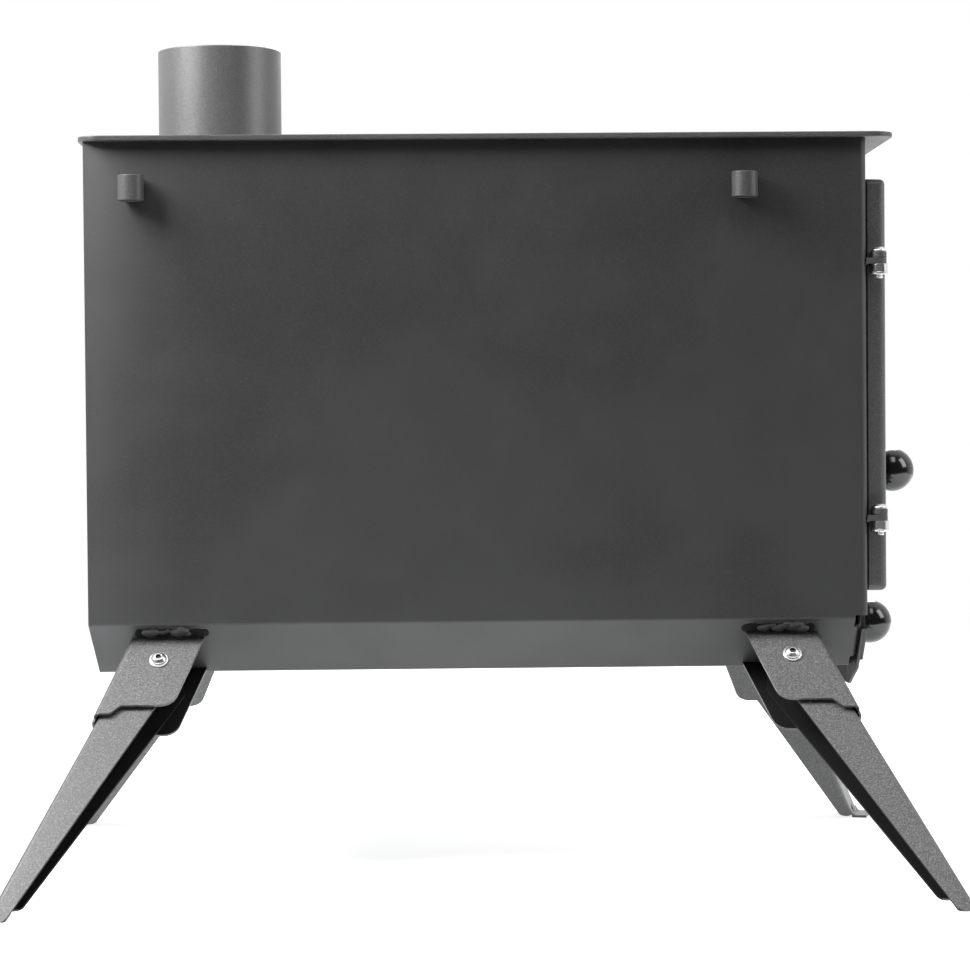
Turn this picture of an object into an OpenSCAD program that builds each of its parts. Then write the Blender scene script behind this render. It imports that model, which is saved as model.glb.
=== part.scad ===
// Tent wood stove: a folded steel firebox with a hotplate, a rear flue collar,
// a front door and four legs that fold up under the bottom corners.
// Millimetres. +X points out of the door, +Z is up, the feet stand on Z = 0.
// Left and right are as seen by someone who faces the door.

/* [Firebox] */
// Length of the firebox from the rear plate to the front face
body_l = 542; // [500:1:600]
// Width over the side panels
body_w = 230; // [220:1:280]
// Height of the flat side panels
panel_h = 334; // [320:1:380]
// Height, and width, of each sloping bottom corner
chamfer = 35; // [33:1:42]
// Thickness of the folded sheet
sheet = 2; // [1.5:0.1:2.5]
// Outer radius of the folded edges
bend_r = 5; // [4:0.5:6]
// How far the rear plate leans in over the sloping corners
rear_lean = 4; // [0:0.5:6]
// Clear height under the firebox
stand_h = 147; // [130:0.5:160]

/* [Hotplate] */
// Thickness of the hotplate
plate_t = 3.5; // [3:0.5:5]
// Overhang behind the rear plate
plate_rear = 4; // [2:1:10]
// Overhang in front of the front face
plate_front = 19; // [15:1:25]
// Overhang on each side
plate_side = 8; // [5:1:12]
// Corner radius of the hotplate
plate_corner = 15; // [8:1:20]

/* [Flue] */
// Outer diameter of the flue collar
flue_d = 88.9; // [76:0.1:102]
// Wall of the flue collar
flue_wall = 2; // [1.5:0.1:3]
// Height of the collar above the hotplate
flue_h = 72; // [50:1:90]
// Width of the collar's foot, in the hotplate's hole, around the collar
flue_foot = 1; // [0.5:0.1:3]
// Distance from the rear plate to the collar's axis
flue_setback = 88; // [80:1:110]

/* [Front] */
// Length of the folded front flange of each side panel
flange_w = 16; // [14:1:20]
// How far the front plates stand proud of the sloping corners
front_proud = 2.4; // [1:0.1:3]
// Height of the open notch at the front end of each fold
notch_h = 8; // [6:0.5:10]
// Depth of the lip that hangs below the floor panel
lip_drop = 16; // [10:0.5:20]
// Half width of the lip at its lower edge
lip_half_w = 42; // [30:1:50]
// Height of the air inlet row above the floor panel
air_h = 25; // [24:0.5:28]
// Diameter of each air hole
air_d = 18; // [12:1:20]
// Distance between air holes
air_pitch = 36; // [32:1:40]
// Travel of the air slide
air_travel = 20; // [18:1:22]

/* [Door] */
// Height of the door above the floor panel
door_rise = 53.5; // [50:0.5:60]
// Distance from the door's top edge up to the hotplate
door_head = 27.5; // [24:0.5:45]
// Distance from each side panel's outer face to the door's edge
door_side = 14; // [10:0.5:17]
// Depth of the folded door tray
door_d = 13; // [11:0.5:14]
// Gap between the front face and the door tray
door_gap = 2.5; // [2:0.1:4]
// Corner radius of the door
door_corner = 5; // [4:1:10]
// Border of the door around its window
door_border = 41; // [39:1:50]
// Overlap of the door on the door opening
door_lap = 13; // [12:0.5:14]
// Thickness of the glass
glass_t = 4; // [3:0.5:5]
// Lap of the glass behind the window's border
glass_lap = 7; // [6:0.5:9]
// Width of the rope seal
seal_w = 7; // [5:0.5:7.5]

/* [Hinges and latch] */
// Distance from the door's edge to the hinge axis
hinge_out = 7; // [6.5:0.5:8]
// Distance from the front face to the hinge axis
hinge_x = 9.4; // [8.5:0.1:10.5]
// Distance of each hinge from the middle between them
hinge_spread = 89.5; // [70:0.5:110]
// Distance of that middle below the door's middle
hinge_drop = 1.2; // [0:0.1:5]
// Thickness of each hinge lug
lug_t = 4.2; // [3:0.1:5]
// Distance from the door's edge to the latch shaft
latch_in = 27; // [26:0.5:29]
// Diameter of the latch shaft
latch_d = 8; // [6:0.5:10]
// Length of the latch lever, from shaft to knob
lever_l = 61; // [50:1:75]
// Diameter of the door knob
knob_d = 33; // [28:1:38]
// Diameter of the air knob
air_knob_d = 32; // [26:1:34]

/* [Rack sockets] */
// Outer diameter of a rack socket
socket_d = 18; // [15:0.5:22]
// Bore of a rack socket
socket_bore = 14; // [10:0.5:15]
// Length of a rack socket
socket_l = 17.5; // [15:0.5:25]
// Depth of the socket's top below the hotplate
socket_drop = 24; // [15:1:40]
// Distance from the rear plate to the rear socket
socket_rear = 33.5; // [30:0.5:60]
// Distance from the front face to the front socket
socket_front = 85.5; // [60:0.5:120]

/* [Leg brackets] */
// Distance from the rear plate to the rear leg bolts
leg_rear = 49; // [47:1:55]
// Distance from the front face to the front leg bolts
leg_front = 54; // [52:1:60]
// Distance down the slope from the fold to the bracket
bracket_down = 13.3; // [12.5:0.1:14]
// Width of the bracket channel
bracket_w = 34; // [32:0.5:35]
// Thickness of the bracket sheet
bracket_t = 2; // [1.5:0.1:2.5]
// Distance from the sloping corner to the leg bolt
bolt_off = 21; // [20.5:0.5:24]
// Angle of the bracket to the firebox's length
bracket_angle = 72.5; // [71:0.5:75]
// Distance from the leg bolt to the bracket's web
bracket_web = 26.2; // [25.5:0.1:28]
// Distance from the leg bolt to the bracket's open edge
bracket_open = 23; // [20:0.5:25]
// Distance from the leg bolt to the flange's lower edge
bracket_low = 40.2; // [36:0.2:44]
// Extra length of the flange next to the web
bracket_step = 7.1; // [5:0.1:9]
// Extra length of the web past the flange
bracket_tail = 3.7; // [2:0.1:5]

/* [Legs] */
// Angle of an open leg to the firebox's length
leg_angle = 70; // [69:0.5:71]
// Taper of the outer flange, from the web to its open edge
leg_taper = 6.2; // [5.5:0.1:6.4]
// Distance from the leg bolt to the outer flange's open edge
leg_open = 16.5; // [14:0.1:17]
// Taper of the inner flange
inner_taper = 8.4; // [7.5:0.1:8.6]
// Distance from the leg bolt to the inner flange's open edge
inner_open = 18.3; // [15:0.1:18.6]
// Corner radius of each flange at the foot
tip_r = 8; // [4:1:9]
// Height of the inner flange's end above the ground
inner_rise = 3; // [0:0.5:4]
// Thickness of the leg sheet
leg_t = 2; // [1.5:0.1:2.5]
// Thickness of the spacer washers beside a leg
spacer_t = 2; // [1:0.1:2.5]
// Length of the foot tab
foot_l = 10.5; // [8:0.5:16]
// Fillet between the web and the foot tab
foot_r = 4; // [3:0.5:5]

/* [Inside] */
// Thickness of the baffle plate
baffle_t = 3; // [2:0.5:5]
// Distance of the baffle plate below the hotplate
baffle_drop = 62; // [50:1:80]
// Length of the baffle plate
baffle_l = 380; // [300:1:420]
// Height of the fire grate above the floor panel
grate_h = 13; // [9:0.5:13.5]
// Thickness of the fire grate
grate_t = 4; // [3:0.5:6]
// Length of the fire grate
grate_l = 420; // [360:1:440]
// Width of the fire grate
grate_w = 150; // [130:1:154]

/* [Fits] */
// Radial clearance of a turning shaft in its hole
run_gap = 0.06; // [0.03:0.01:0.1]
// Gap between faces that slide past each other
slide_gap = 0.15; // [0.1:0.05:0.2]
// Gap between a moving piece and its seat
seat_gap = 0.3; // [0.2:0.05:0.4]

/* [Hidden] */
$fn = 48;

steel = [0.27, 0.27, 0.27];       // dark painted sheet
bright = [0.78, 0.77, 0.74];      // stainless fasteners
ball_black = [0.03, 0.03, 0.03];  // moulded ball knobs
rope = [0.2, 0.19, 0.18];         // rope and tape seals
cut = 1;                          // how far a cutter runs past a face

// Metric fasteners: M6 hinge and leg bolts, M4 studs, M8 knob studs
m6_d = 6;
m6_head_d = 10.4;
m6_head_h = 3.8;
m6_socket = 4;
m6_washer_d = 13.2;
m6_washer_t = 1.2;
m6_nut = 11;
m6_nut_h = 5.7;
m6_collar_d = 12.6;
m6_collar_h = 1.7;
m6_end = 2.6;
m6_hole = m6_d + 0.4;
m4_d = 4;
m4_nut = 7;
m4_nut_h = 3.2;
m8_d = 8;
m8_neck_d = 12;

// Levels and half sizes of the firebox
hw = body_w / 2;
hl = body_l / 2;
z_floor = stand_h;
z_fold = z_floor + chamfer;
z_top = z_fold + panel_h;
z_plate = z_top + plate_t;
miter = sheet * tan(22.5);
slope_w = chamfer * sqrt(2);
floor_half = hw - chamfer;
corner_cut = 9;
flange_in = 12;
flue_foot_d = flue_d + 2 * flue_foot;

// Places along X of the front plates' faces
x_front = hl;
x_mid = hl - sheet;
x_inner = hl - 2 * sheet;

// The door and its tray
door_h = chamfer + panel_h - door_rise - door_head;
door_w = body_w - 2 * door_side;
door_z0 = z_floor + door_rise;
door_mid = door_z0 + door_h / 2;
door_back = x_front + door_gap;
door_face = door_back + door_d;
door_half = door_w / 2;
open_half = door_half - door_lap;
open_z0 = door_z0 + door_lap;
open_z1 = door_z0 + door_h - door_lap;
open_corner = 8;
win_half = door_half - door_border;
win_z0 = door_z0 + door_border;
win_z1 = door_z0 + door_h - door_border;
win_corner = 8;
gasket_t = 1;
gasket_w = 5;
seal_inset = bend_r - sheet + 0.1;
glass_face = door_face - sheet - gasket_t;
glass_back = glass_face - glass_t;
clip_t = 1.5;
clip_w = 14;
clip_l = 16;
stud_out = 5;

// The hinge axis
axis_x = x_front + hinge_x;
axis_y = -(door_half + hinge_out);
lug_r = hinge_out - 1.5;

// The latch: its shaft, lever, cam and the knob's stem
latch_y = door_half - latch_in;
latch_z = door_mid;
bush_wall = 3;
bush_proud = 2.2;
lever_x = door_face + bush_proud + slide_gap;
lever_t = 5;
lever_w = 16;
cam_t = 4;
cam_w = 12;
cam_l = latch_in - 3;
keeper_t = 2.8;
cam_front = x_mid - keeper_t - slide_gap;
stem_neck = 7;
knob_x = lever_x + lever_t + stem_neck + knob_d / 2;
knob_z = latch_z - lever_l;

// The air slide and its knob
air_z = z_floor + air_h;
slide_t = 2;
slide_h = air_d + 12;
slide_half = air_pitch + air_d / 2 + 7;
slide_x = x_front + slide_gap;
air_knob_y = air_pitch / 2;
air_neck = 2.4;
air_knob_x = slide_x + slide_t + air_neck + air_knob_d / 2;
rail_lip = 4;
rail_half = 58;

// A leg's own frame: x along the firebox, y out of the sloping corner, z down the slope
pivot_y = -(hw - (bracket_down - bolt_off) * sqrt(0.5));
pivot_z = z_fold - (bracket_down + bolt_off) * sqrt(0.5);
leg_x_front = hl - leg_front;
leg_x_rear = -hl + leg_rear;
leg_side = bracket_t + spacer_t;
leg_w = bracket_w - 2 * leg_side;
spacer_d = 14;
web_end = bracket_low + bracket_step + bracket_tail;
// The leg's web leans on the inner edge of the bracket web's end
web_at_end = bracket_web / sin(bracket_angle) + web_end / tan(bracket_angle);
leg_web = (web_at_end - web_end / tan(leg_angle)) * sin(leg_angle) - bracket_t - 0.05;
leg_reach = pivot_z * sqrt(2);
leg_run = leg_reach / sin(leg_angle) + 20;

// The foot's bend line on the ground, turned a little out of the Y axis
foot_turn = atan(cos(leg_angle) * sqrt(0.5) / sin(leg_angle));
foot_lean = acos(cos(leg_angle) * sqrt(0.5));
leg_mid = leg_side + leg_w / 2;
foot_x = leg_web / sin(leg_angle) + (leg_reach - leg_mid) / tan(leg_angle);
foot_y = (2 * leg_mid - leg_reach) * sqrt(0.5);
foot_span = leg_w * sqrt(2) / cos(foot_turn) - 2;

// The part's frame: its middle stands over the origin
tip_x = foot_x + foot_l * cos(foot_turn) + foot_span / 2 * sin(foot_turn);
x_high = max(leg_x_front + tip_x, knob_x + knob_d / 2);
x_low = leg_x_rear - tip_x;
frame_x = -(x_high + x_low) / 2;

// ---------------------------------------------------------------- outlines

function unit(v) = v / norm(v);

// The arc that rounds corner q between its neighbours p and r
function arc_at(p, q, r, radius, steps) =
  radius == 0 ? [q] :
  let (
    u = unit(p - q),
    v = unit(r - q),
    half = acos(u * v) / 2,
    c = q + unit(u + v) * radius / sin(half),
    start = q + u * radius / tan(half) - c,
    stop = q + v * radius / tan(half) - c,
    a = atan2(start.y, start.x),
    turn = (atan2(stop.y, stop.x) - a + 540) % 360 - 180
  )
  [for (i = [0:steps]) c + radius * [cos(a + turn * i / steps), sin(a + turn * i / steps)]];

// An outline with each corner rounded by its own radius
function rounded(pts, radii, steps = 6) =
  let (n = len(pts))
  [for (i = [0:n - 1]) each arc_at(pts[(i + n - 1) % n], pts[i], pts[(i + 1) % n], radii[i], steps)];

function mirrored(pts) = [for (i = [len(pts) - 1:-1:0]) [-pts[i].x, pts[i].y]];

function box_pts(x0, x1, y0, y1) = [[x0, y0], [x1, y0], [x1, y1], [x0, y1]];

module round_box(x0, x1, y0, y1, r) {
  polygon(rounded(box_pts(x0, x1, y0, y1), [r, r, r, r]));
}

// Extrudes an outline drawn in Y and Z from x0 to x1
module along_x(x0, x1) {
  translate([x0, 0, 0]) rotate([90, 0, 90]) linear_extrude(x1 - x0) children();
}

// Extrudes an outline drawn in X and Z over the width w, about Y = 0
module along_y(w) {
  translate([0, w / 2, 0]) rotate([90, 0, 0]) linear_extrude(w) children();
}

// ---------------------------------------------------------------- placing

module in_frame() {
  translate([frame_x, 0, 0]) children();
}

// Places a piece drawn in a leg's own frame at one corner
module at_corner(front, left) {
  in_frame()
    mirror([0, left ? 0 : 1, 0])
      translate([front ? leg_x_front : leg_x_rear, pivot_y, pivot_z])
        mirror([front ? 0 : 1, 0, 0])
          rotate([-135, 0, 0])
            children();
}

module at_corners() {
  for (front = [true, false], left = [true, false])
    at_corner(front, left) children();
}

// The two hinges: the part's z = 0 is the plane between the two lugs
module at_hinges() {
  for (s = [-1, 1])
    in_frame() translate([axis_x, axis_y, door_mid - hinge_drop + s * hinge_spread]) children();
}

module at_latch(x) {
  in_frame() translate([x, latch_y, latch_z]) rotate([0, 90, 0]) children();
}

// ---------------------------------------------------------------- fasteners

module button_head(d, h) {
  difference() {
    intersection() {
      cylinder(d = d, h = h);
      translate([0, 0, h - d * 0.62]) sphere(d = d * 1.24);
    }
    translate([0, 0, h - 2.2]) cylinder(d = m6_socket / cos(30), h = 2.2 + cut, $fn = 6);
  }
}

module ring(outer, inner, h) {
  difference() {
    cylinder(d = outer, h = h);
    translate([0, 0, -cut]) cylinder(d = inner, h = h + 2 * cut);
  }
}

// A lock nut: its hexagon faces down and its collar stands on top
module lock_nut(hole) {
  difference() {
    union() {
      cylinder(d = m6_nut / cos(30), h = m6_nut_h, $fn = 6);
      cylinder(d = m6_collar_d, h = m6_nut_h + m6_collar_h);
    }
    translate([0, 0, -cut]) cylinder(d = hole, h = m6_nut_h + m6_collar_h + 2 * cut);
  }
}

module hex_nut(across, hole, h) {
  difference() {
    cylinder(d = across / cos(30), h = h, $fn = 6);
    translate([0, 0, -cut]) cylinder(d = hole, h = h + 2 * cut);
  }
}

module ball_knob(d, stud) {
  color(ball_black) difference() {
    sphere(d = d, $fn = 96);
    translate([-d, 0, 0]) rotate([0, 90, 0]) cylinder(d = stud, h = d);
  }
}

// ---------------------------------------------------------------- firebox

// The right half of the firebox's section, grown outwards by g and upwards by rise
function half_section(g, rise) = [
  [floor_half + g * tan(22.5), z_floor - g],
  [hw + g, z_fold - g * tan(22.5)],
  [hw + g, z_top + rise]];

function section(g, rise = 0) = concat(half_section(g, rise), mirrored(half_section(g, rise)));

// A folded edge: the sheet comes along +x with its outer face at y = 0
// and turns to +y, and its outer face ends at x = 0
module folded_edge(l, flange) {
  translate([-bend_r, bend_r, 0]) linear_extrude(l) {
    intersection() {
      difference() {
        circle(r = bend_r);
        circle(r = bend_r - sheet);
      }
      translate([0, -bend_r]) square([bend_r, bend_r]);
    }
    translate([bend_r - sheet, 0]) square([sheet, flange - bend_r]);
  }
}

// The stretches of the lower edge that have a front flange: the floor and both slopes
module flange_zone() {
  half = floor_half - corner_cut;
  translate([-half, z_floor - cut]) square([2 * half, flange_in + 2 * cut]);
  for (left = [0, 1])
    mirror([left, 0])
      translate([hw, z_fold]) rotate(-135)
        translate([corner_cut, -flange_in - cut])
          square([slope_w - 2 * corner_cut, flange_in + 2 * cut]);
}

module body_shell() {
  x_bend = x_inner - bend_r;
  outline = rounded(section(0), [3, 3, 0, 0, 3, 3], 4);
  color(steel) in_frame() difference() {
    union() {
      difference() {
        union() {
          along_x(-hl, x_bend) polygon(outline);
          along_x(x_bend - cut, x_inner) intersection() {
            polygon(outline);
            flange_zone();
          }
        }
        along_x(-hl - cut, x_inner - sheet) polygon(section(-sheet, cut));
        along_x(x_inner - sheet - cut, x_inner + cut) polygon(section(-flange_in, cut));
      }
      for (left = [0, 1])
        mirror([0, left, 0]) {
          translate([x_bend - 2 * cut, hw - sheet, z_fold + 2])
            cube([x_front - bend_r - x_bend + 2 * cut, sheet, panel_h - 2]);
          translate([x_front, hw, z_fold + 2]) mirror([0, 1, 0]) folded_edge(panel_h - 2, flange_w);
        }
    }
    rear_wedge();
  }
}

// What the leaning rear plate takes off the shell's rear end
module rear_wedge() {
  along_y(body_w + 2 * cut)
    polygon([[-hl - cut, z_floor - cut], [-hl + rear_lean, z_floor - cut], [-hl + rear_lean, z_floor],
      [-hl, z_fold], [-hl - cut, z_fold]]);
}

module rear_plate() {
  lean = sheet / cos(atan(rear_lean / chamfer));
  color(steel) in_frame() intersection() {
    along_y(body_w)
      polygon([[-hl, z_top], [-hl, z_fold], [-hl + rear_lean, z_floor], [-hl + rear_lean + lean, z_floor],
        [-hl + lean, z_fold], [-hl + sheet, z_fold + cut], [-hl + sheet, z_top]]);
    along_x(-hl - cut, -hl + rear_lean + sheet + 2 * cut) polygon(section(-sheet));
  }
}

module air_holes(x0, x1) {
  for (i = [-1:1])
    translate([x0, i * air_pitch, air_z]) rotate([0, 90, 0]) cylinder(d = air_d, h = x1 - x0);
}

// Half width of the front plates at height z, where they stand proud of the slope
function slope_y(z) = hw - z_fold + z + front_proud * sqrt(2);

// The front plate fills the space between the side flanges and follows the sloping corners
module front_plate() {
  in_half = hw - flange_w - 0.2;
  low = z_floor + 4;
  notch = z_fold - notch_h;
  outline = [[slope_y(low), low], [slope_y(notch), notch], [in_half, notch], [in_half, z_top]];
  color(steel) in_frame() difference() {
    along_x(x_mid, x_front) polygon(concat(outline, mirrored(outline)));
    along_x(x_mid - cut, x_front + cut) round_box(-open_half, open_half, open_z0, open_z1, open_corner);
    air_holes(x_mid - cut, x_front + cut);
  }
}

// The plate behind the front plate, with the lip that hangs below it
module front_stiffener() {
  top = door_z0 + 4;
  in_half = hw - bend_r - 0.1;
  neck = hw - flange_w - 0.2;
  low = z_floor - front_proud;
  notch = z_fold - notch_h;
  outline = [[lip_half_w, z_floor - lip_drop], [slope_y(low), low], [slope_y(notch), notch],
    [neck, notch], [neck, z_fold + 2], [in_half, z_fold + 2], [in_half, top]];
  radii = [4, 0, 0, 0, 0, 0, 0, 0, 0, 0, 0, 0, 0, 4];
  color(steel) in_frame() difference() {
    along_x(x_inner, x_mid) polygon(rounded(concat(outline, mirrored(outline)), radii));
    air_holes(x_inner - cut, x_mid + cut);
  }
}

module hotplate() {
  color(steel) in_frame() difference() {
    translate([0, 0, z_top]) linear_extrude(plate_t)
      round_box(-hl - plate_rear, hl + plate_front, -hw - plate_side, hw + plate_side, plate_corner);
    translate([-hl + flue_setback, 0, z_top - cut])
      cylinder(d = flue_foot_d, h = plate_t + 2 * cut, $fn = 96);
  }
}

// The collar's foot fills the hotplate's hole, level with its underside
module flue_collar() {
  color(steel) in_frame() translate([-hl + flue_setback, 0, z_top]) difference() {
    union() {
      cylinder(d = flue_foot_d, h = plate_t, $fn = 96);
      cylinder(d = flue_d, h = plate_t + flue_h, $fn = 96);
    }
    translate([0, 0, -cut]) cylinder(d = flue_d - 2 * flue_wall, h = plate_t + flue_h + 2 * cut, $fn = 96);
  }
}

module baffle_rails() {
  leg = 14;
  t = 2;
  z = z_top - baffle_drop;
  color(steel) in_frame() for (left = [0, 1]) mirror([0, left, 0])
    translate([-hl + sheet, hw - sheet - leg, z - t]) {
      cube([baffle_l, leg, t]);
      translate([0, leg - t, -leg + t]) cube([baffle_l, t, leg]);
    }
}

module baffle_plate() {
  color(steel) in_frame() translate([-hl + sheet + seat_gap, -hw + sheet + 1, z_top - baffle_drop])
    cube([baffle_l - 1, body_w - 2 * sheet - 2, baffle_t]);
}

module fire_grate() {
  slot_w = 8;
  pitch = 20;
  edge = 16;
  count = floor((grate_w - 2 * edge) / pitch);
  foot = 12;
  z = z_floor + sheet;
  color(steel) in_frame() translate([-grate_l / 2, 0, z]) {
    difference() {
      translate([0, -grate_w / 2, grate_h]) cube([grate_l, grate_w, grate_t]);
      for (i = [-(count - 1) / 2:(count - 1) / 2], half = [0, 1])
        translate([edge + half * (grate_l - edge) / 2, i * pitch - slot_w / 2, grate_h - cut])
          cube([(grate_l - 3 * edge) / 2, slot_w, grate_t + 2 * cut]);
    }
    for (x = [0, grate_l - foot], y = [-grate_w / 2, grate_w / 2 - grate_t])
      translate([x, y, 0]) cube([foot, grate_t, grate_h]);
  }
}

// Short tubes welded upright on the side panels, for side racks
module rack_sockets() {
  pad = 6;
  color(steel) in_frame()
    for (x = [-hl + socket_rear, hl - socket_front], left = [0, 1]) mirror([0, left, 0])
      translate([x, hw + socket_d / 2, z_top - socket_drop - socket_l]) difference() {
        union() {
          cylinder(d = socket_d, h = socket_l);
          translate([-pad / 2, -socket_d / 2, 0]) cube([pad, socket_d / 4, socket_l]);
        }
        translate([0, 0, -cut]) cylinder(d = socket_bore, h = socket_l + 2 * cut);
      }
}

// ---------------------------------------------------------------- hinges and latch

module body_hinge_lugs() {
  color(steel) at_hinges() translate([0, 0, -lug_t]) difference() {
    union() {
      cylinder(r = lug_r, h = lug_t - slide_gap);
      translate([-hinge_x, -lug_r, 0]) cube([hinge_x, 2 * lug_r, lug_t - slide_gap]);
    }
    translate([0, 0, -cut]) cylinder(d = m6_hole, h = lug_t + 2 * cut);
  }
}

module door_hinge_lugs() {
  color(steel) at_hinges() difference() {
    union() {
      cylinder(r = lug_r, h = lug_t);
      translate([-lug_r, 0, 0]) cube([2 * lug_r, hinge_out, lug_t]);
    }
    translate([0, 0, -cut]) cylinder(d = m6_d + 2 * run_gap, h = lug_t + 2 * cut);
  }
}

module hinge_bolts() {
  drop = lug_t + m6_nut_h + m6_collar_h + m6_end;
  color(bright) at_hinges() {
    translate([0, 0, -drop]) cylinder(d = m6_d, h = drop + lug_t + slide_gap + 0.1);
    translate([0, 0, lug_t + slide_gap]) button_head(m6_head_d, m6_head_h);
  }
}

module hinge_nuts() {
  color(bright) at_hinges() translate([0, 0, -lug_t]) mirror([0, 0, 1]) lock_nut(m6_d);
}

module latch_keeper() {
  h = 26;
  w = door_lap - 3;
  color(steel) in_frame() translate([x_mid - keeper_t, open_half + 2, latch_z - h / 2])
    cube([keeper_t, w, h]);
}

module latch_bush() {
  back = sheet + 4;
  color(steel) at_latch(door_face) difference() {
    translate([0, 0, 0]) cylinder(d = latch_d + 2 * bush_wall, h = bush_proud);
    translate([0, 0, -back - cut]) cylinder(d = latch_d + 2 * run_gap, h = back + bush_proud + 2 * cut);
  }
}

module latch_shaft() {
  color(bright) at_latch(cam_front - cam_t - 6)
    cylinder(d = latch_d, h = lever_x + lever_t + 5 - (cam_front - cam_t - 6));
}

module latch_lever() {
  color(steel) at_latch(lever_x) difference() {
    union() {
      cylinder(d = lever_w, h = lever_t);
      translate([0, -lever_w / 2, 0]) cube([lever_l, lever_w, lever_t]);
      translate([lever_l, 0, 0]) cylinder(d = lever_w, h = lever_t);
    }
    translate([0, 0, -cut]) cylinder(d = latch_d, h = lever_t + 2 * cut);
    translate([lever_l, 0, -cut]) cylinder(d = m8_d, h = lever_t + 2 * cut);
  }
}

module latch_cam() {
  color(steel) at_latch(cam_front - cam_t) difference() {
    union() {
      cylinder(d = cam_w, h = cam_t);
      translate([-cam_l + cam_w / 2, -cam_w / 2, 0]) cube([cam_l - cam_w / 2, cam_w, cam_t]);
      translate([-cam_l + cam_w / 2, 0, 0]) cylinder(d = cam_w, h = cam_t);
    }
    translate([0, 0, -cut]) cylinder(d = latch_d, h = cam_t + 2 * cut);
  }
}

module latch_nuts() {
  color(bright) {
    at_latch(cam_front - cam_t - 5) hex_nut(13, latch_d, 5);
    at_latch(lever_x + lever_t) hex_nut(13, latch_d, 4);
  }
}

// A stud through the lever with a neck that the ball screws down on
module door_knob_stem() {
  color(bright) in_frame() translate([lever_x, latch_y, knob_z]) rotate([0, 90, 0]) {
    cylinder(d = m8_d, h = lever_t + stem_neck + knob_d / 2);
    translate([0, 0, lever_t]) cylinder(d = m8_neck_d, h = stem_neck - 0.5);
  }
}

module door_knob() {
  in_frame() translate([knob_x, latch_y, knob_z]) ball_knob(knob_d, m8_d);
}

// ---------------------------------------------------------------- door

module door_solid(g, x0) {
  z1 = door_z0 + door_h;
  r = bend_r - g;
  intersection() {
    along_x(x0, door_face - g)
      round_box(-door_half + g, door_half - g, door_z0 + g, z1 - g, max(door_corner - g, 1));
    along_y(door_w)
      polygon(rounded(box_pts(x0, door_face - g, door_z0 + g, z1 - g), [0, r, r, 0]));
    translate([0, 0, door_z0]) linear_extrude(door_h)
      polygon(rounded(box_pts(x0, door_face - g, -door_half + g, door_half - g), [0, r, r, 0]));
  }
}

module door_panel() {
  color(steel) in_frame() difference() {
    door_solid(0, door_back);
    door_solid(sheet, door_back - cut);
    along_x(door_back, door_face + cut) round_box(-win_half, win_half, win_z0, win_z1, win_corner);
    translate([door_back, latch_y, latch_z]) rotate([0, 90, 0]) cylinder(d = latch_d + 1, h = door_d + cut);
    translate([-frame_x, 0, 0])
      at_studs(door_face - sheet - cut) cylinder(d = m4_d, h = sheet / 2 + cut);
  }
}

module frame_ring(x0, x1, y, z0, z1, w, r) {
  along_x(x0, x1) difference() {
    round_box(-y, y, z0, z1, r);
    round_box(-y + w, y - w, z0 + w, z1 - w, max(r - w, 1));
  }
}

module door_seal() {
  half = door_half - sheet - seal_inset;
  color(rope) in_frame()
    frame_ring(x_front + seat_gap, door_face - sheet, half, door_z0 + sheet + seal_inset,
      door_z0 + door_h - sheet - seal_inset, seal_w, door_corner);
}

module window_gasket() {
  color(rope) in_frame()
    frame_ring(glass_face, door_face - sheet, win_half + glass_lap, win_z0 - glass_lap, win_z1 + glass_lap,
      gasket_w, win_corner);
}

module door_glass() {
  color([0.5, 0.5, 0.48, 0.4]) in_frame()
    along_x(glass_back, glass_face)
      round_box(-win_half - glass_lap, win_half + glass_lap, win_z0 - glass_lap, win_z1 + glass_lap, 3);
}

// The studs stand just outside the glass, two on each long side
function stud_y() = win_half + glass_lap + m4_d / 2 + 1.5;
function stud_z() = (win_z1 - win_z0) / 2 - 20;

// Children are drawn with z along the stud and x towards the glass
module at_studs(x) {
  for (side = [0, 1], z = [-1, 1])
    in_frame() mirror([0, side, 0]) translate([x, stud_y(), door_mid + z * stud_z()])
      rotate([0, 90, 0]) rotate([0, 0, -90]) children();
}

module glass_studs() {
  back = glass_back - stud_out;
  color(bright) at_studs(back) cylinder(d = m4_d, h = door_face - sheet / 2 - back);
}

module glass_clips() {
  color(bright) at_studs(glass_back - clip_t) difference() {
    translate([-4, -clip_w / 2, 0]) cube([clip_l, clip_w, clip_t]);
    translate([0, 0, -cut]) cylinder(d = m4_d, h = clip_t + 2 * cut);
  }
}

module glass_nuts() {
  color(bright) at_studs(glass_back - clip_t - m4_nut_h) hex_nut(m4_nut, m4_d, m4_nut_h);
}

// ---------------------------------------------------------------- air slide

module air_slide_rails() {
  lip_x = slide_t + 2 * slide_gap;
  rail_t = 2;
  rail_h = 5;
  color(steel) in_frame() for (s = [-1, 1]) {
    z = air_z + s * (slide_h / 2 + slide_gap);
    translate([x_front, -rail_half, s > 0 ? z : z - rail_h]) cube([lip_x, 2 * rail_half, rail_h]);
    translate([x_front + lip_x, -rail_half, s > 0 ? z - rail_lip : z - rail_h])
      cube([rail_t, 2 * rail_half, rail_h + rail_lip]);
  }
}

module air_slide() {
  color(steel) in_frame() difference() {
    along_x(slide_x, slide_x + slide_t)
      round_box(-slide_half, slide_half, air_z - slide_h / 2, air_z + slide_h / 2, 3);
    air_holes(slide_x - cut, slide_x + slide_t + cut);
    translate([slide_x - cut, air_knob_y, air_z]) rotate([0, 90, 0])
      cylinder(d = m8_d - 2, h = slide_t + 2 * cut);
  }
}

module air_knob_stem() {
  color(bright) in_frame() translate([slide_x, air_knob_y, air_z]) rotate([0, 90, 0]) {
    cylinder(d = m8_d - 2, h = slide_t + air_neck + air_knob_d / 2);
    translate([0, 0, slide_t]) cylinder(d = m8_neck_d, h = air_neck - 0.5);
  }
}

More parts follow.
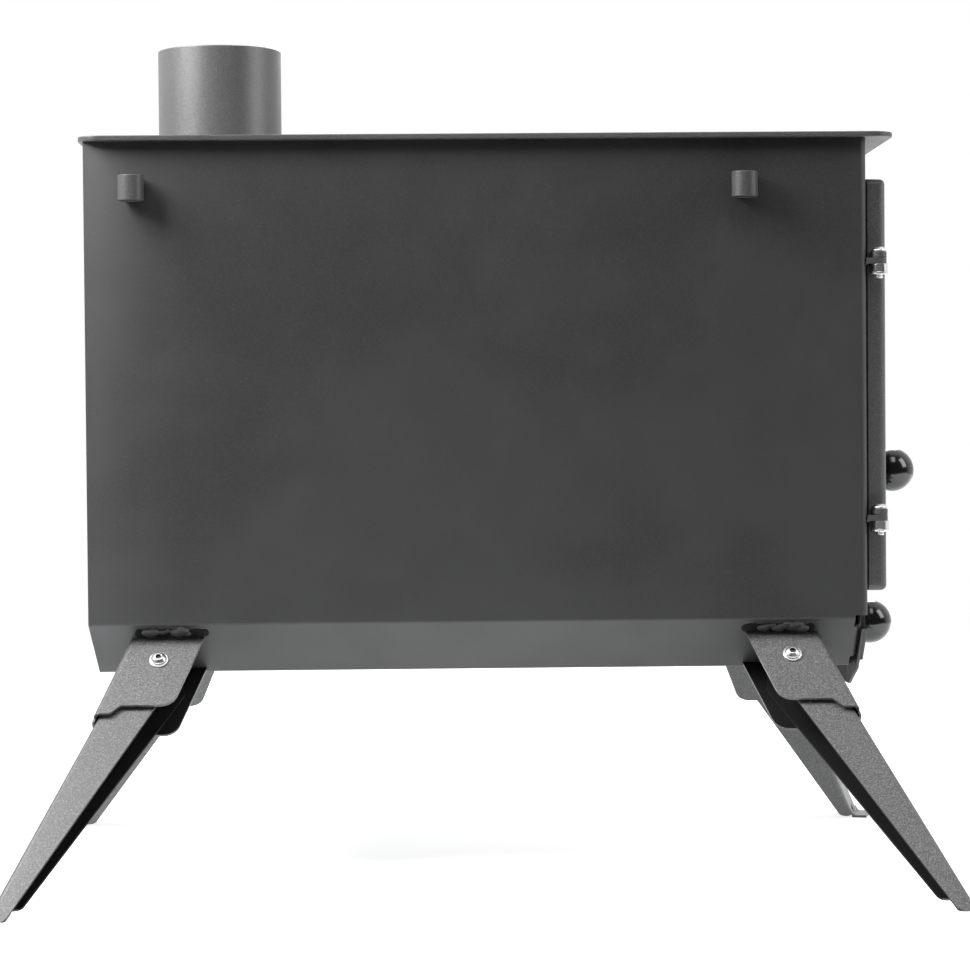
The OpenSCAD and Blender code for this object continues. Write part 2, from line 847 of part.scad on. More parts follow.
module air_knob() {
  in_frame() translate([air_knob_x, air_knob_y, air_z]) ball_knob(air_knob_d, m8_d - 2);
}

// ---------------------------------------------------------------- legs

// A channel whose web runs at the given angle, off from the bolt; its section
// stands on the web's outer face and opens inwards, and its bends are round
module channel_bar(angle, off, depth, width, t, run) {
  r = 2 * t;
  rotate([0, 0, angle]) translate([-run / 2, -off, 0]) rotate([90, 0, 90]) linear_extrude(run) difference() {
    polygon(rounded(box_pts(0, depth, 0, width), [r, 0, 0, r], 4));
    polygon(rounded(box_pts(t, depth + cut, t, width - t), [r - t, 0, 0, r - t], 4));
  }
}

// The corner of an outline: the point at height y on the line at distance d from the bolt
function on_line(d, angle, y) = [d / sin(angle) + y / tan(angle), y];

// The flanges have a lower edge with a step; the web between them runs on past it
module bracket_outline(flange) {
  a = bracket_angle;
  step_x = on_line(bracket_web, a, bracket_low).x - 16;
  low = flange ? bracket_low + bracket_step : web_end;
  polygon(rounded([
    on_line(-bracket_open, a, -bolt_off), on_line(bracket_web + cut, a, -bolt_off),
    on_line(bracket_web + cut, a, low), [step_x + bracket_step, low],
    [step_x, bracket_low], on_line(-bracket_open, a, bracket_low)],
    [0, 0, 0, 3, 4, 12]));
}

module bracket() {
  edge = 2.5 * bracket_t;
  color(steel) difference() {
    intersection() {
      channel_bar(bracket_angle, bracket_web, bracket_web + bracket_open + 40, bracket_w, bracket_t, 4 * web_end);
      union() {
        translate([0, 0, -cut]) linear_extrude(bracket_w + 2 * cut) bracket_outline(true);
        translate([0, 0, edge]) linear_extrude(bracket_w - 2 * edge) bracket_outline(false);
      }
    }
    translate([0, 0, -cut]) cylinder(d = m6_hole, h = bracket_w + 2 * cut);
  }
}

// A point at distance l along the leg from its bolt, and d towards its web
function on_leg(l, d) =
  [l * cos(leg_angle) + d * sin(leg_angle), l * sin(leg_angle) - d * cos(leg_angle)];

// A flange's outline: its open edge tapers to the foot and its top clears the firebox
module flange_outline(open, taper, low) {
  edge = leg_angle - taper;
  polygon(rounded([
    on_line(-open, edge, 8), on_leg(-18, -7), on_leg(-18, 7), on_leg(-10, leg_web + cut),
    on_line(leg_web + cut, leg_angle, low), on_line(-open, edge, low)],
    [6, 8, 8, 0, 0, tip_r]));
}

// The leg's channel, cut level with the ground
module leg_bar() {
  outer_low = leg_reach - leg_side;
  inner_low = outer_low - leg_w + leg_t - inner_rise * sqrt(2);
  intersection() {
    translate([0, 0, leg_side])
      channel_bar(leg_angle, leg_web, leg_web + inner_open + 20, leg_w, leg_t, 2 * leg_run);
    union() {
      translate([0, 0, leg_side])
        linear_extrude(leg_w / 2) flange_outline(leg_open, leg_taper, outer_low);
      translate([0, 0, leg_mid])
        linear_extrude(leg_w / 2) flange_outline(inner_open, inner_taper, inner_low);
    }
    rotate([135, 0, 0])
      translate([-leg_run, -2 * leg_run, -pivot_z])
        cube([3 * leg_run, 4 * leg_run, 2 * leg_run]);
  }
}

// The tab that the web is folded out into, flat on the ground
module foot_tab() {
  up = foot_r + 2;
  back = -up / tan(foot_lean) - leg_t / 4;
  run_in = 1;
  outline = [[-run_in, 0], [foot_l, 0], [foot_l, leg_t], [-leg_t / tan(foot_lean), leg_t],
    [back, up], [back - run_in, up]];
  rotate([135, 0, 0]) translate([foot_x, foot_y, -pivot_z])
    rotate([0, 0, foot_turn])
      along_y(foot_span) polygon(rounded(outline, [0, 0, 0, foot_r, 0, 0]));
}

module leg() {
  color(steel) difference() {
    union() {
      leg_bar();
      foot_tab();
    }
    translate([0, 0, leg_side - cut]) cylinder(d = m6_d + 2 * run_gap, h = leg_w + 2 * cut);
  }
}

module bracket_front_left() at_corner(true, true) bracket();
module bracket_front_right() at_corner(true, false) bracket();
module bracket_rear_left() at_corner(false, true) bracket();
module bracket_rear_right() at_corner(false, false) bracket();

module leg_front_left() at_corner(true, true) leg();
module leg_front_right() at_corner(true, false) leg();
module leg_rear_left() at_corner(false, true) leg();
module leg_rear_right() at_corner(false, false) leg();

module leg_bolts() {
  color(bright) at_corners() {
    translate([0, 0, -m6_washer_t]) mirror([0, 0, 1]) button_head(m6_head_d, m6_head_h);
    translate([0, 0, -m6_washer_t - 0.1])
      cylinder(d = m6_d, h = bracket_w + m6_washer_t + m6_nut_h + m6_collar_h + m6_end);
  }
}

module leg_bolt_washers() {
  color(bright) at_corners() translate([0, 0, -m6_washer_t]) ring(m6_washer_d, m6_d, m6_washer_t);
}

module leg_spacers() {
  t = spacer_t - slide_gap;
  color(bright) at_corners() {
    translate([0, 0, bracket_t]) ring(spacer_d, m6_d, t);
    translate([0, 0, bracket_w - bracket_t - t]) ring(spacer_d, m6_d, t);
  }
}

module leg_nuts() {
  color(bright) at_corners() translate([0, 0, bracket_w]) lock_nut(m6_d);
}

body_shell();
rear_plate();
front_plate();
front_stiffener();
hotplate();
flue_collar();
baffle_rails();
baffle_plate();
fire_grate();
rack_sockets();
body_hinge_lugs();
hinge_bolts();
hinge_nuts();
latch_keeper();
air_slide_rails();
air_slide();
air_knob_stem();
air_knob();
door_panel();
door_hinge_lugs();
door_seal();
window_gasket();
door_glass();
glass_studs();
glass_clips();
glass_nuts();
latch_bush();
latch_shaft();
latch_lever();
latch_cam();
latch_nuts();
door_knob_stem();
door_knob();
bracket_front_left();
bracket_front_right();
bracket_rear_left();
bracket_rear_right();
leg_bolts();
leg_bolt_washers();
leg_spacers();
leg_nuts();
leg_front_left();
leg_front_right();
leg_rear_left();
leg_rear_right();
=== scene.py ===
"""Looks of the tent wood stove: its finishes, rounded edges, welds and fasteners, and the studio.

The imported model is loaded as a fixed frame. Each sub-assembly is a class: its fields are the sizes that it
adds to the frame, and its methods make its pieces, dress them and tie them to the body that they move with.
Lengths are in metres. +X points out of the door, +Z is up and the feet stand on Z = 0.
"""

import logging
import math
import random
from contextlib import contextmanager
from dataclasses import dataclass, field
from enum import Enum
from functools import cache
from typing import Callable, ClassVar, Iterable, Iterator, Sequence, Union

import bpy
from mathutils import Matrix, Vector


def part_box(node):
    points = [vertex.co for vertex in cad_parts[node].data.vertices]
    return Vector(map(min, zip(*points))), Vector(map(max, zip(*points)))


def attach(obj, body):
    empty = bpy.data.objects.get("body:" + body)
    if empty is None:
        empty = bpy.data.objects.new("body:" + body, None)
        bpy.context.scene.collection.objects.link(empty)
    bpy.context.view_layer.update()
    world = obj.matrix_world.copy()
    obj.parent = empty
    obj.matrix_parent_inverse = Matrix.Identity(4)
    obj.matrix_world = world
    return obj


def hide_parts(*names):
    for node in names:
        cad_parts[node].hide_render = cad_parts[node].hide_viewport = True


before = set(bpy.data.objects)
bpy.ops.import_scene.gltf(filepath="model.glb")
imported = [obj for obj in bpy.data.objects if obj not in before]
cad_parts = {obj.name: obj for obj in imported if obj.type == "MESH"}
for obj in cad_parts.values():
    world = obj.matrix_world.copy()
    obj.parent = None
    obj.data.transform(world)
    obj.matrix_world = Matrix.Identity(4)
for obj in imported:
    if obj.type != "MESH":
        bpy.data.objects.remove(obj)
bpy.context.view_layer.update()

LOG = logging.getLogger("tent_stove")
MM = 0.001
UP = Vector((0, 0, 1))
OUT = Vector((1, 0, 0))

HEX_FLAT = math.cos(math.radians(30))  # a hexagon's width across its flats, over that across its corners
MERGE = 4e-6  # how near two corners of a copied node are when they are one
LATHE_MERGE = 2e-6  # the same on a turned piece
FLAT = math.radians(0.6)  # the most that two faces of a copied node turn where they are one
SHARP = 32.0  # the least turn of an edge that is rounded, in degrees
NEAR = 0.02 * MM  # how near a point is to a line that it is on

Number = Union[float, "Value"]
Colour = tuple[float, float, float]
Pair = tuple[float, float]
Piece = bpy.types.Object
Material = bpy.types.Material
Test = Callable[[Vector, Vector], bool]


# ---------------------------------------- shader maths

class Value:
    """A number that varies over a surface: an output socket whose operators add Math nodes."""

    def __init__(self, board: "Board", socket: bpy.types.NodeSocket) -> None:
        """Keeps the socket and the board that its nodes stand on."""
        self.board = board
        self.socket = socket

    def _math(self, operation: str, *values: Number, clamp: bool = False) -> "Value":
        """The result of a Math node with these inputs, kept between 0 and 1 by clamp."""
        return self.board.add("ShaderNodeMath", {"operation": operation, "use_clamp": clamp},
                              dict(enumerate(values)))

    def __add__(self, other: Number) -> "Value":
        """self + other"""
        return self._math("ADD", self, other)

    __radd__ = __add__

    def __sub__(self, other: Number) -> "Value":
        """self - other"""
        return self._math("SUBTRACT", self, other)

    def __rsub__(self, other: Number) -> "Value":
        """other - self"""
        return self._math("SUBTRACT", other, self)

    def __mul__(self, other: Number) -> "Value":
        """self * other"""
        return self._math("MULTIPLY", self, other)

    __rmul__ = __mul__

    def __rpow__(self, other: Number) -> "Value":
        """other ** self"""
        return self._math("POWER", other, self)

    def held(self) -> "Value":
        """The value, kept between 0 and 1."""
        return self._math("ADD", self, 0.0, clamp=True)

    def ramp(self, low: float, high: float) -> "Value":
        """0 below low and 1 above high, with a soft step between."""
        return self.board.add("ShaderNodeMapRange", {"interpolation_type": "SMOOTHSTEP"},
                              {"Value": self, "From Min": low, "From Max": high})


class Board:
    """The node tree of one material."""

    def __init__(self, owner: Union[Material, bpy.types.World, str]) -> None:
        """Empties the tree of a material or a world.

        Args:
            owner: the material or world, or the name of a new material.
        """
        self.owner = bpy.data.materials.new(owner) if isinstance(owner, str) else owner
        self.owner.use_nodes = True
        self.tree = self.owner.node_tree
        self.tree.nodes.clear()
        self._place = None

    def add(self, kind: str, settings: dict, values: dict, output: Union[int, str] = 0) -> Value:
        """Adds one node.

        Args:
            kind: the node's type.
            settings: its own settings, which are set first.
            values: the number, colour, vector or link of each socket, by name or place.
            output: the output that is returned.

        Returns:
            That output.
        """
        node = self.tree.nodes.new(kind)
        for key, setting in settings.items():
            setattr(node, key, setting)
        for key, value in values.items():
            socket = node.inputs[key]
            if isinstance(value, Value):
                self.tree.links.new(value.socket, socket)
            elif isinstance(value, (tuple, list, Vector)) and socket.type == "RGBA":
                socket.default_value = (*value[:3], 1.0)
            else:
                socket.default_value = value
        return Value(self, node.outputs[output])

    def place(self) -> Value:
        """The point on the piece, from one node for the whole tree.

        Returns:
            The point, in metres, in the row's frame.
        """
        if self._place is None:
            self._place = self.add("ShaderNodeTexCoord", {}, {}, "Object")
        return self._place

    def turned(self, turn: Sequence[float]) -> Value:
        """The point on the piece, turned for a pattern."""
        return self.add("ShaderNodeMapping", {}, {"Vector": self.place(), "Rotation": turn})

    def noise(self, scale: float, detail: float, rough: float) -> Value:
        """Soft noise between about 0.3 and 0.7, of scale waves in a metre, with octaves of finer waves."""
        return self.add("ShaderNodeTexNoise", {},
                        {"Vector": self.place(), "Scale": scale, "Detail": detail, "Roughness": rough})

    def blend(self, factor: Value, first: Union[Colour, Value], second: Union[Colour, Value]) -> Value:
        """A colour between two colours."""
        return self.add("ShaderNodeMix", {"data_type": "RGBA", "clamp_factor": True},
                        {0: factor, 6: first, 7: second}, 2)

    def bump(self, height: Value, depth: float, strength: float = 1.0, under: Value = None) -> Value:
        """Turns a height into a normal.

        Args:
            height: the height, from 0 to 1.
            depth: how high 1 stands, in metres.
            strength: the share of the bump that shows.
            under: a coarser bump that this one lies on.

        Returns:
            The normal.
        """
        values = {"Height": height, "Distance": depth, "Strength": strength}
        if under is not None:
            values["Normal"] = under
        return self.add("ShaderNodeBump", {}, values)

    def surface(self, colour: Value, roughness: Value, normal: Value = None, **values: Number) -> Material:
        """Ends the material in a Principled shader.

        Args:
            colour: the base colour.
            roughness: the roughness, which is kept between 0 and 1.
            normal: the normal, if it isn't the mesh's own.
            values: other sockets, each named with _ for a space.

        Returns:
            The material.
        """
        sockets = {"Base Color": colour, "Roughness": roughness.held()}
        sockets.update({key.replace("_", " "): value for key, value in values.items()})
        if normal is not None:
            sockets["Normal"] = normal
        return self.shown(self.add("ShaderNodeBsdfPrincipled", {}, sockets))

    def shown(self, shader: Value) -> Material:
        """Links a shader to the output of the material or world.

        Args:
            shader: the shader.

        Returns:
            The material or world.
        """
        world = isinstance(self.owner, bpy.types.World)
        output = self.tree.nodes.new("ShaderNodeOutputWorld" if world else "ShaderNodeOutputMaterial")
        self.tree.links.new(shader.socket, output.inputs["Surface"])
        return self.owner

    def sight(self, mirrored: Number) -> Value:
        """1 for what the camera sees, another value for what gloss and glass show, 0 for light on things.

        Args:
            mirrored: what gloss and glass show.

        Returns:
            The share.
        """
        path = self.add("ShaderNodeLightPath", {}, {}, "Is Camera Ray")
        rays = path.socket.node.outputs
        gloss, glass = (Value(self, rays[f"Is {kind} Ray"]) for kind in ("Glossy", "Transmission"))
        return path + (gloss + glass).held() * mirrored


def grey(level: float, warmth: float = 0.0) -> Colour:
    """A near-neutral colour of a linear level. Warmth above 0 leans to brown, and below 0 to blue."""
    return level * (1 + warmth), level, level * (1 - warmth)


# ---------------------------------------- finishes

class Slot(Enum):
    """The material slots."""

    STEEL = "steel_paint"
    STAINLESS = "stainless"
    KNOB = "knob"
    SEAL = "seal"
    GLASS = "glass"


@dataclass(frozen=True)
class Finish:
    """A finish of the stove's surfaces."""

    name: str
    slot: ClassVar[Slot] = Slot.STEEL

    def material(self) -> Material:
        """Makes the finish's material."""
        return self.dressed(Board(self.name))

    def dressed(self, board: Board) -> Material:
        """Lays the finish's nodes on an empty board."""
        raise NotImplementedError


@dataclass(frozen=True)
class StovePaint(Finish):
    """High-temperature stove paint: matt, with a fine grain, pale specks that are partly painted glints, and
    soft cloudy patches.
    """

    level: float
    roughness: float
    specular: float = 0.5
    grain: float = 0.5
    specks: float = 0.5
    cloud: float = 0.3
    grit: float = 1.0
    drawn_in: float = 0.0
    reach: float = 0.026
    rear_x: float = -0.275

    def dressed(self, board: Board) -> Material:
        """Lays the paint's nodes. A sheet that is drawn in turns its surface a little to the rear weld.

        Args:
            board: the empty board.

        Returns:
            The material.
        """
        patches = board.noise(4.6, 3.0, 0.55).ramp(0.36, 0.6)
        fine = board.noise(1250.0 * self.grit, 3.0, 0.7)
        pores = board.noise(2100.0, 2.0, 0.6)
        # Pale flecks in the base colour: partly specks in the paint, partly painted glints.
        glint_flecks = board.noise(1700.0 * self.grit, 1.0, 0.5).ramp(0.6, 0.72)
        pinholes = board.noise(210.0, 2.0, 0.7).ramp(0.73, 0.78)
        worn = board.noise(34.0, 4.0, 0.7).ramp(0.45, 0.75)
        dark = board.blend(patches * self.cloud, grey(self.level * 1.35), grey(self.level * 0.3))
        grained = board.blend(fine.ramp(0.42, 0.64) * self.grain, dark, grey(self.level * 2.3))
        flecked = board.blend(glint_flecks * self.specks, grained, grey(self.level * 4.2))
        colour = board.blend(pinholes * self.specks * 0.5, flecked, grey(self.level * 5.0))
        rough = (self.roughness + (patches - 0.5) * 0.12 * self.cloud + (worn - 0.5) * 0.05
                 + (fine - 0.5) * 0.18)
        under = None
        if self.drawn_in:
            away = board.add("ShaderNodeSeparateXYZ", {}, {0: board.place()}, "X") - self.rear_x
            under = board.bump(1.0 - math.e ** (away * (-1 / self.reach)), self.drawn_in * self.reach)
        coarse = board.bump(fine, 0.00022 * self.grain, 0.75, under)
        normal = board.bump(pores, 0.00007 * self.grain, 0.6, coarse)
        return board.surface(colour, rough, normal, Specular_IOR_Level=self.specular)


@dataclass(frozen=True)
class SootedSteel(Finish):
    """Bare sheet inside the firebox, browned by heat and dusted with ash."""

    level: float = 0.035

    def dressed(self, board: Board) -> Material:
        """Lays the sooted steel's nodes.

        Args:
            board: the empty board.

        Returns:
            The material.
        """
        patches = board.noise(16.0, 5.0, 0.65).ramp(0.35, 0.7)
        ash = board.noise(90.0, 4.0, 0.7).ramp(0.52, 0.72)
        crust = board.noise(900.0, 3.0, 0.7)
        base = board.blend(patches, grey(self.level, 0.12), grey(self.level * 0.45, 0.05))
        colour = board.blend(ash * 0.35, base, grey(0.16, 0.04))
        rough = 0.62 + patches * 0.2 + (crust - 0.5) * 0.2
        return board.surface(colour, rough, board.bump(crust, 0.00012, 0.6), Specular_IOR_Level=0.4)


@dataclass(frozen=True)
class Stainless(Finish):
    """Turned stainless steel with fine tool marks."""

    level: float = 0.75
    roughness: float = 0.27
    slot: ClassVar[Slot] = Slot.STAINLESS

    def dressed(self, board: Board) -> Material:
        """Lays the stainless steel's nodes.

        Args:
            board: the empty board.

        Returns:
            The material.
        """
        marks = board.noise(1500.0, 3.0, 0.6)
        smudge = board.noise(160.0, 3.0, 0.6).ramp(0.35, 0.7)
        colour = board.blend(smudge * 0.5, grey(self.level, 0.015), grey(self.level * 0.72, 0.03))
        rough = self.roughness + smudge * 0.12 + (marks - 0.5) * 0.15
        return board.surface(colour, rough, board.bump(marks, 0.00004, 0.5), Metallic=1.0)


@dataclass(frozen=True)
class BallPlastic(Finish):
    """Glossy black moulded plastic with light handling marks."""

    slot: ClassVar[Slot] = Slot.KNOB

    def dressed(self, board: Board) -> Material:
        """Lays the plastic's nodes.

        Args:
            board: the empty board.

        Returns:
            The material.
        """
        rubs = board.noise(130.0, 4.0, 0.7).ramp(0.5, 0.75)
        orange_peel = board.noise(420.0, 1.0, 0.4)
        colour = board.blend(rubs * 0.4, grey(0.006), grey(0.011))
        rough = 0.17 + rubs * 0.09 + (orange_peel - 0.5) * 0.04
        return board.surface(colour, rough, board.bump(orange_peel, 0.00002, 0.4), IOR=1.52,
                             Coat_Weight=0.3, Coat_Roughness=0.05)


@dataclass(frozen=True)
class FibreRope(Finish):
    """Braided glass-fibre rope or woven tape, with its strands crossing on a slant."""

    level: float
    strand: float = 0.0026
    slot: ClassVar[Slot] = Slot.SEAL

    def dressed(self, board: Board) -> Material:
        """Lays the rope's nodes.

        Args:
            board: the empty board.

        Returns:
            The material.
        """
        scale = 0.18 / self.strand
        settings = {"wave_type": "BANDS", "bands_direction": "DIAGONAL", "wave_profile": "SIN"}
        ends = [board.add("ShaderNodeTexWave", settings,
                          {"Vector": board.turned((turn, turn * 0.4, turn)), "Scale": scale,
                           "Distortion": 0.6, "Detail": 1.0}, 1) for turn in (0.9, -0.9)]
        braid = ends[0] * ends[1]
        fluff = board.noise(2400.0, 4.0, 0.7)
        soot = board.noise(26.0, 3.0, 0.6).ramp(0.4, 0.7)
        base = board.blend(soot * 0.7, grey(self.level, 0.05), grey(self.level * 0.4, 0.04))
        colour = board.blend((braid * 0.6 + fluff * 0.4).held(), base, grey(self.level * 1.6, 0.06))
        normal = board.bump((braid + fluff * 0.3) * 0.8, 0.0006, 0.8)
        return board.surface(colour, 0.86 + (fluff - 0.5) * 0.2, normal, Specular_IOR_Level=0.2)


@dataclass(frozen=True)
class FireGlass(Finish):
    """Ceramic stove glass, faintly smoked in patches."""

    slot: ClassVar[Slot] = Slot.GLASS

    def dressed(self, board: Board) -> Material:
        """Lays the glass's nodes.

        Args:
            board: the empty board.

        Returns:
            The material.
        """
        haze = board.noise(24.0, 4.0, 0.6).ramp(0.42, 0.75)
        colour = board.blend(haze, (0.012, 0.011, 0.01), (0.045, 0.036, 0.027))
        return board.surface(colour, 0.03 + haze * 0.05, IOR=1.52, Specular_IOR_Level=1.0,
                             Coat_Weight=1.0, Coat_Roughness=0.03, Alpha=0.5 + haze * 0.16)


@dataclass(frozen=True)
class StudioWhite(Finish):
    """The floor: it takes the object's shadow, and the camera and gloss see it as white."""

    lift: float = 0.78
    mirrored: float = 1.3
    level: float = 0.8

    def dressed(self, board: Board) -> Material:
        """Lays the floor's nodes.

        Args:
            board: the empty board.

        Returns:
            The material.
        """
        soft = board.add("ShaderNodeBsdfDiffuse", {}, {"Color": grey(self.level, -0.015), "Roughness": 1.0})
        glow = board.add("ShaderNodeEmission", {},
                         {"Color": (1.0, 1.0, 1.0), "Strength": board.sight(self.mirrored) * self.lift})
        return board.shown(board.add("ShaderNodeAddShader", {}, {0: soft, 1: glow}))


PANEL_PAINT = StovePaint("panel_paint", level=0.024, roughness=0.54, specular=0.6, grain=0.18, specks=0.18,
                         cloud=0.9, drawn_in=0.7)
PLATE_PAINT = StovePaint("plate_paint", level=0.045, roughness=0.44, specks=0.4, cloud=0.4)
DOOR_PAINT = StovePaint("door_paint", level=0.07, roughness=0.42, specks=0.6, cloud=0.4)
TEXTURED_PAINT = StovePaint("textured_paint", level=0.06, roughness=0.38, grain=0.9, specks=0.8, grit=0.62)
# The insides of the leg and bracket channels: the same paint, darkened and dulled as painted shade.
CHANNEL_SHADE_PAINT = StovePaint("thin_paint", level=0.01, roughness=0.64, specular=0.12, grain=0.3, specks=0.1)
SEAM_PAINT = StovePaint("seam_paint", level=0.026, roughness=0.5, grain=0.6, specks=0.3, cloud=0.7)
# A near-black matt band along the slope above each bracket's outer flange: painted shade where the flange
# blocks the light.
SEAM_SHADE_PAINT = StovePaint("scorched_seam", level=0.007, roughness=0.7, specular=0.1, grain=0.4, specks=0.1)
COLLAR_PAINT = StovePaint("collar_paint", level=0.05, roughness=0.41, specular=1.0, grain=0.7, specks=0.4)
SOOT = SootedSteel("sooted_steel")
BRIGHT = Stainless("turned_stainless")
# Darker, duller steel inside the bolts' hex sockets: painted shade.
SOCKET_SHADE_STEEL = Stainless("oiled_socket", level=0.1, roughness=0.45)
BALL = BallPlastic("ball_plastic")
ROPE = FibreRope("seal_rope", level=0.06)
TAPE = FibreRope("glass_tape", level=0.22, strand=0.0014)
GLASS = FireGlass("fire_glass")


@cache
def made(finish: Finish) -> Material:
    """The finish's material, which is made once."""
    return finish.material()


def dress(piece: Piece, finishes: Sequence[Finish], second: Test = None) -> None:
    """Gives a piece its finishes, the first one all over.

    Args:
        piece: the piece.
        finishes: one finish for each of its material slots.
        second: the test of the faces, by centre and normal, that take the second finish.
    """
    piece.data.materials.clear()
    for finish in finishes:
        piece.data.materials.append(made(finish))
    if second:
        for face in piece.data.polygons:
            face.material_index = int(second(face.center, face.normal))


# ---------------------------------------- modelling

def only(piece: Piece) -> None:
    """Selects one piece and nothing else.

    Args:
        piece: the piece.
    """
    bpy.ops.object.select_all(action="DESELECT")
    piece.select_set(True)
    bpy.context.view_layer.objects.active = piece


@contextmanager
def editing(piece: Piece, kind: str = "VERT", action: str = "SELECT") -> Iterator[None]:
    """Edit mode on one piece.

    Args:
        piece: the piece.
        kind: whether VERT, EDGE or FACE is selected.
        action: SELECT or DESELECT, for all of it at the start.

    Returns:
        The stretch of edit mode, after which the piece is in object mode again.
    """
    only(piece)
    bpy.ops.object.mode_set(mode="EDIT")
    bpy.ops.mesh.select_mode(type=kind)
    bpy.ops.mesh.select_all(action=action)
    yield
    bpy.ops.object.mode_set(mode="OBJECT")


def standing(name: str, data: bpy.types.ID) -> Piece:
    """Puts a new object in the scene.

    Args:
        name: its name.
        data: its mesh, lamp or lens.

    Returns:
        The object.
    """
    thing = bpy.data.objects.new(name, data)
    bpy.context.scene.collection.objects.link(thing)
    return thing


def settle(piece: Piece) -> Piece:
    """Moves a piece's place, turn and size into its mesh.

    Args:
        piece: the piece.

    Returns:
        The piece.
    """
    only(piece)
    bpy.ops.object.transform_apply(location=True, rotation=True, scale=True)
    return piece


def named(name: str) -> Piece:
    """Names the active piece.

    Args:
        name: the piece's name.

    Returns:
        The piece.
    """
    piece = bpy.context.object
    piece.name = name
    piece.data.name = name
    return piece


def copy_of(node: str, name: str) -> Piece:
    """A copy of a CAD node with its loose triangles merged into flat faces.

    Args:
        node: the CAD node.
        name: the new piece's name.

    Returns:
        The new piece.
    """
    piece = standing(name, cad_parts[node].data.copy())
    piece.data.name = name
    only(piece)
    if piece.data.has_custom_normals:
        bpy.ops.mesh.customdata_custom_splitnormals_clear()
    with editing(piece):
        bpy.ops.mesh.remove_doubles(threshold=MERGE)
        bpy.ops.mesh.dissolve_limited(angle_limit=FLAT)
    return piece


def modifier(piece: Piece, kind: str, **settings: object) -> Piece:
    """Adds a modifier and applies it.

    Args:
        piece: the piece.
        kind: the modifier's type.
        settings: the modifier's settings.

    Returns:
        The piece.
    """
    only(piece)
    step = piece.modifiers.new(kind.lower(), kind)
    for key, value in settings.items():
        setattr(step, key, value)
    bpy.ops.object.modifier_apply(modifier=step.name)
    return piece


def ease(piece: Piece, width: float, steps: int = 2, angle: float = SHARP) -> Piece:
    """Rounds a piece's sharp edges and shades it smooth between them.

    Args:
        piece: the piece.
        width: how far each edge is cut back.
        steps: facets across each rounded edge.
        angle: the least turn of an edge that is rounded, in degrees.

    Returns:
        The piece.
    """
    modifier(piece, "BEVEL", width=width, segments=steps, limit_method="ANGLE",
             angle_limit=math.radians(angle), use_clamp_overlap=False)
    return smooth(piece)


def bevel(piece: Piece, width: float, steps: int, wanted: Test, sharp: bool = False) -> None:
    """Rounds some edges of a piece.

    Args:
        piece: the piece.
        width: how far each edge is cut back.
        steps: facets across each rounded edge.
        wanted: the test of an edge's two ends.
        sharp: whether only sharp edges are rounded.
    """
    with editing(piece, "EDGE", "DESELECT"):
        if sharp:
            bpy.ops.mesh.edges_select_sharp(sharpness=math.radians(SHARP))
    points = piece.data.vertices
    for edge in piece.data.edges:
        edge.select = (edge.select or not sharp) and wanted(*(points[i].co for i in edge.vertices))
    bpy.ops.object.mode_set(mode="EDIT")
    bpy.ops.mesh.bevel(offset=width, offset_type="OFFSET", segments=steps, clamp_overlap=False)
    bpy.ops.object.mode_set(mode="OBJECT")


def smooth(piece: Piece, angle: float = 40.0) -> Piece:
    """Shades a piece smooth, with its flat faces kept flat.

    Args:
        piece: the piece.
        angle: the least turn of an edge that stays sharp, in degrees.

    Returns:
        The piece.
    """
    only(piece)
    bpy.ops.object.shade_smooth_by_angle(angle=math.radians(angle))
    return modifier(piece, "WEIGHTED_NORMAL", keep_sharp=True, weight=60)


def rounded_node(node: str, name: str, width: float, steps: int = 2) -> Piece:
    """A copy of a CAD node with its edges eased."""
    return ease(copy_of(node, name), width, steps)


def lathe(name: str, profile: Sequence[Pair], turns: int = 48, closed: bool = False) -> Piece:
    """Turns a profile about the Z axis.

    Args:
        name: the piece's name.
        profile: radius and height of each point, from bottom to top.
        turns: steps around the axis.
        closed: whether the profile is a loop, as a ring's is.

    Returns:
        The turned piece.
    """
    bpy.ops.mesh.primitive_plane_add(size=MM, location=(profile[0][0], 0, profile[0][1]))
    piece = settle(named(name))
    with editing(piece):
        bpy.ops.mesh.merge(type="CENTER")
        for before, after in zip(profile, profile[1:]):
            bpy.ops.mesh.extrude_vertices_move(TRANSFORM_OT_translate={
                "value": (after[0] - before[0], 0, after[1] - before[1])})
        if closed:
            bpy.ops.mesh.select_all(action="SELECT")
            bpy.ops.mesh.edge_face_add()
            bpy.ops.mesh.delete(type="ONLY_FACE")
        bpy.ops.mesh.select_all(action="SELECT")
        bpy.ops.mesh.spin(steps=turns, angle=math.tau, center=(0, 0, 0), axis=(0, 0, 1))
        bpy.ops.mesh.select_all(action="SELECT")
        bpy.ops.mesh.remove_doubles(threshold=LATHE_MERGE)
        bpy.ops.mesh.dissolve_degenerate(threshold=LATHE_MERGE)
        bpy.ops.mesh.normals_make_consistent(inside=False)
    return piece


def prism(name: str, sides: int, across_corners: float, low: float, high: float) -> Piece:
    """Makes an upright prism about the Z axis, with a corner on the X axis.

    Args:
        name: the piece's name.
        sides: how many sides it has.
        across_corners: its width from corner to corner.
        low: the height of its foot.
        high: the height of its top.

    Returns:
        The prism.
    """
    bpy.ops.mesh.primitive_cylinder_add(vertices=sides, radius=across_corners / 2, depth=high - low,
                                        location=(0, 0, (low + high) / 2), rotation=(0, 0, math.radians(90)))
    return settle(named(name))


def cut(piece: Piece, tool: Piece, way: str = "DIFFERENCE") -> Piece:
    """Cuts a piece with a tool, which is then thrown away.

    Args:
        piece: the piece.
        tool: the tool.
        way: how the two are combined.

    Returns:
        The piece.
    """
    modifier(piece, "BOOLEAN", operation=way, object=tool, solver="EXACT")
    bpy.data.objects.remove(tool)
    return piece


def put(piece: Piece, place: Matrix) -> Piece:
    """Sets a piece down at a place and moves that place into its mesh."""
    piece.matrix_world = place
    return settle(piece)


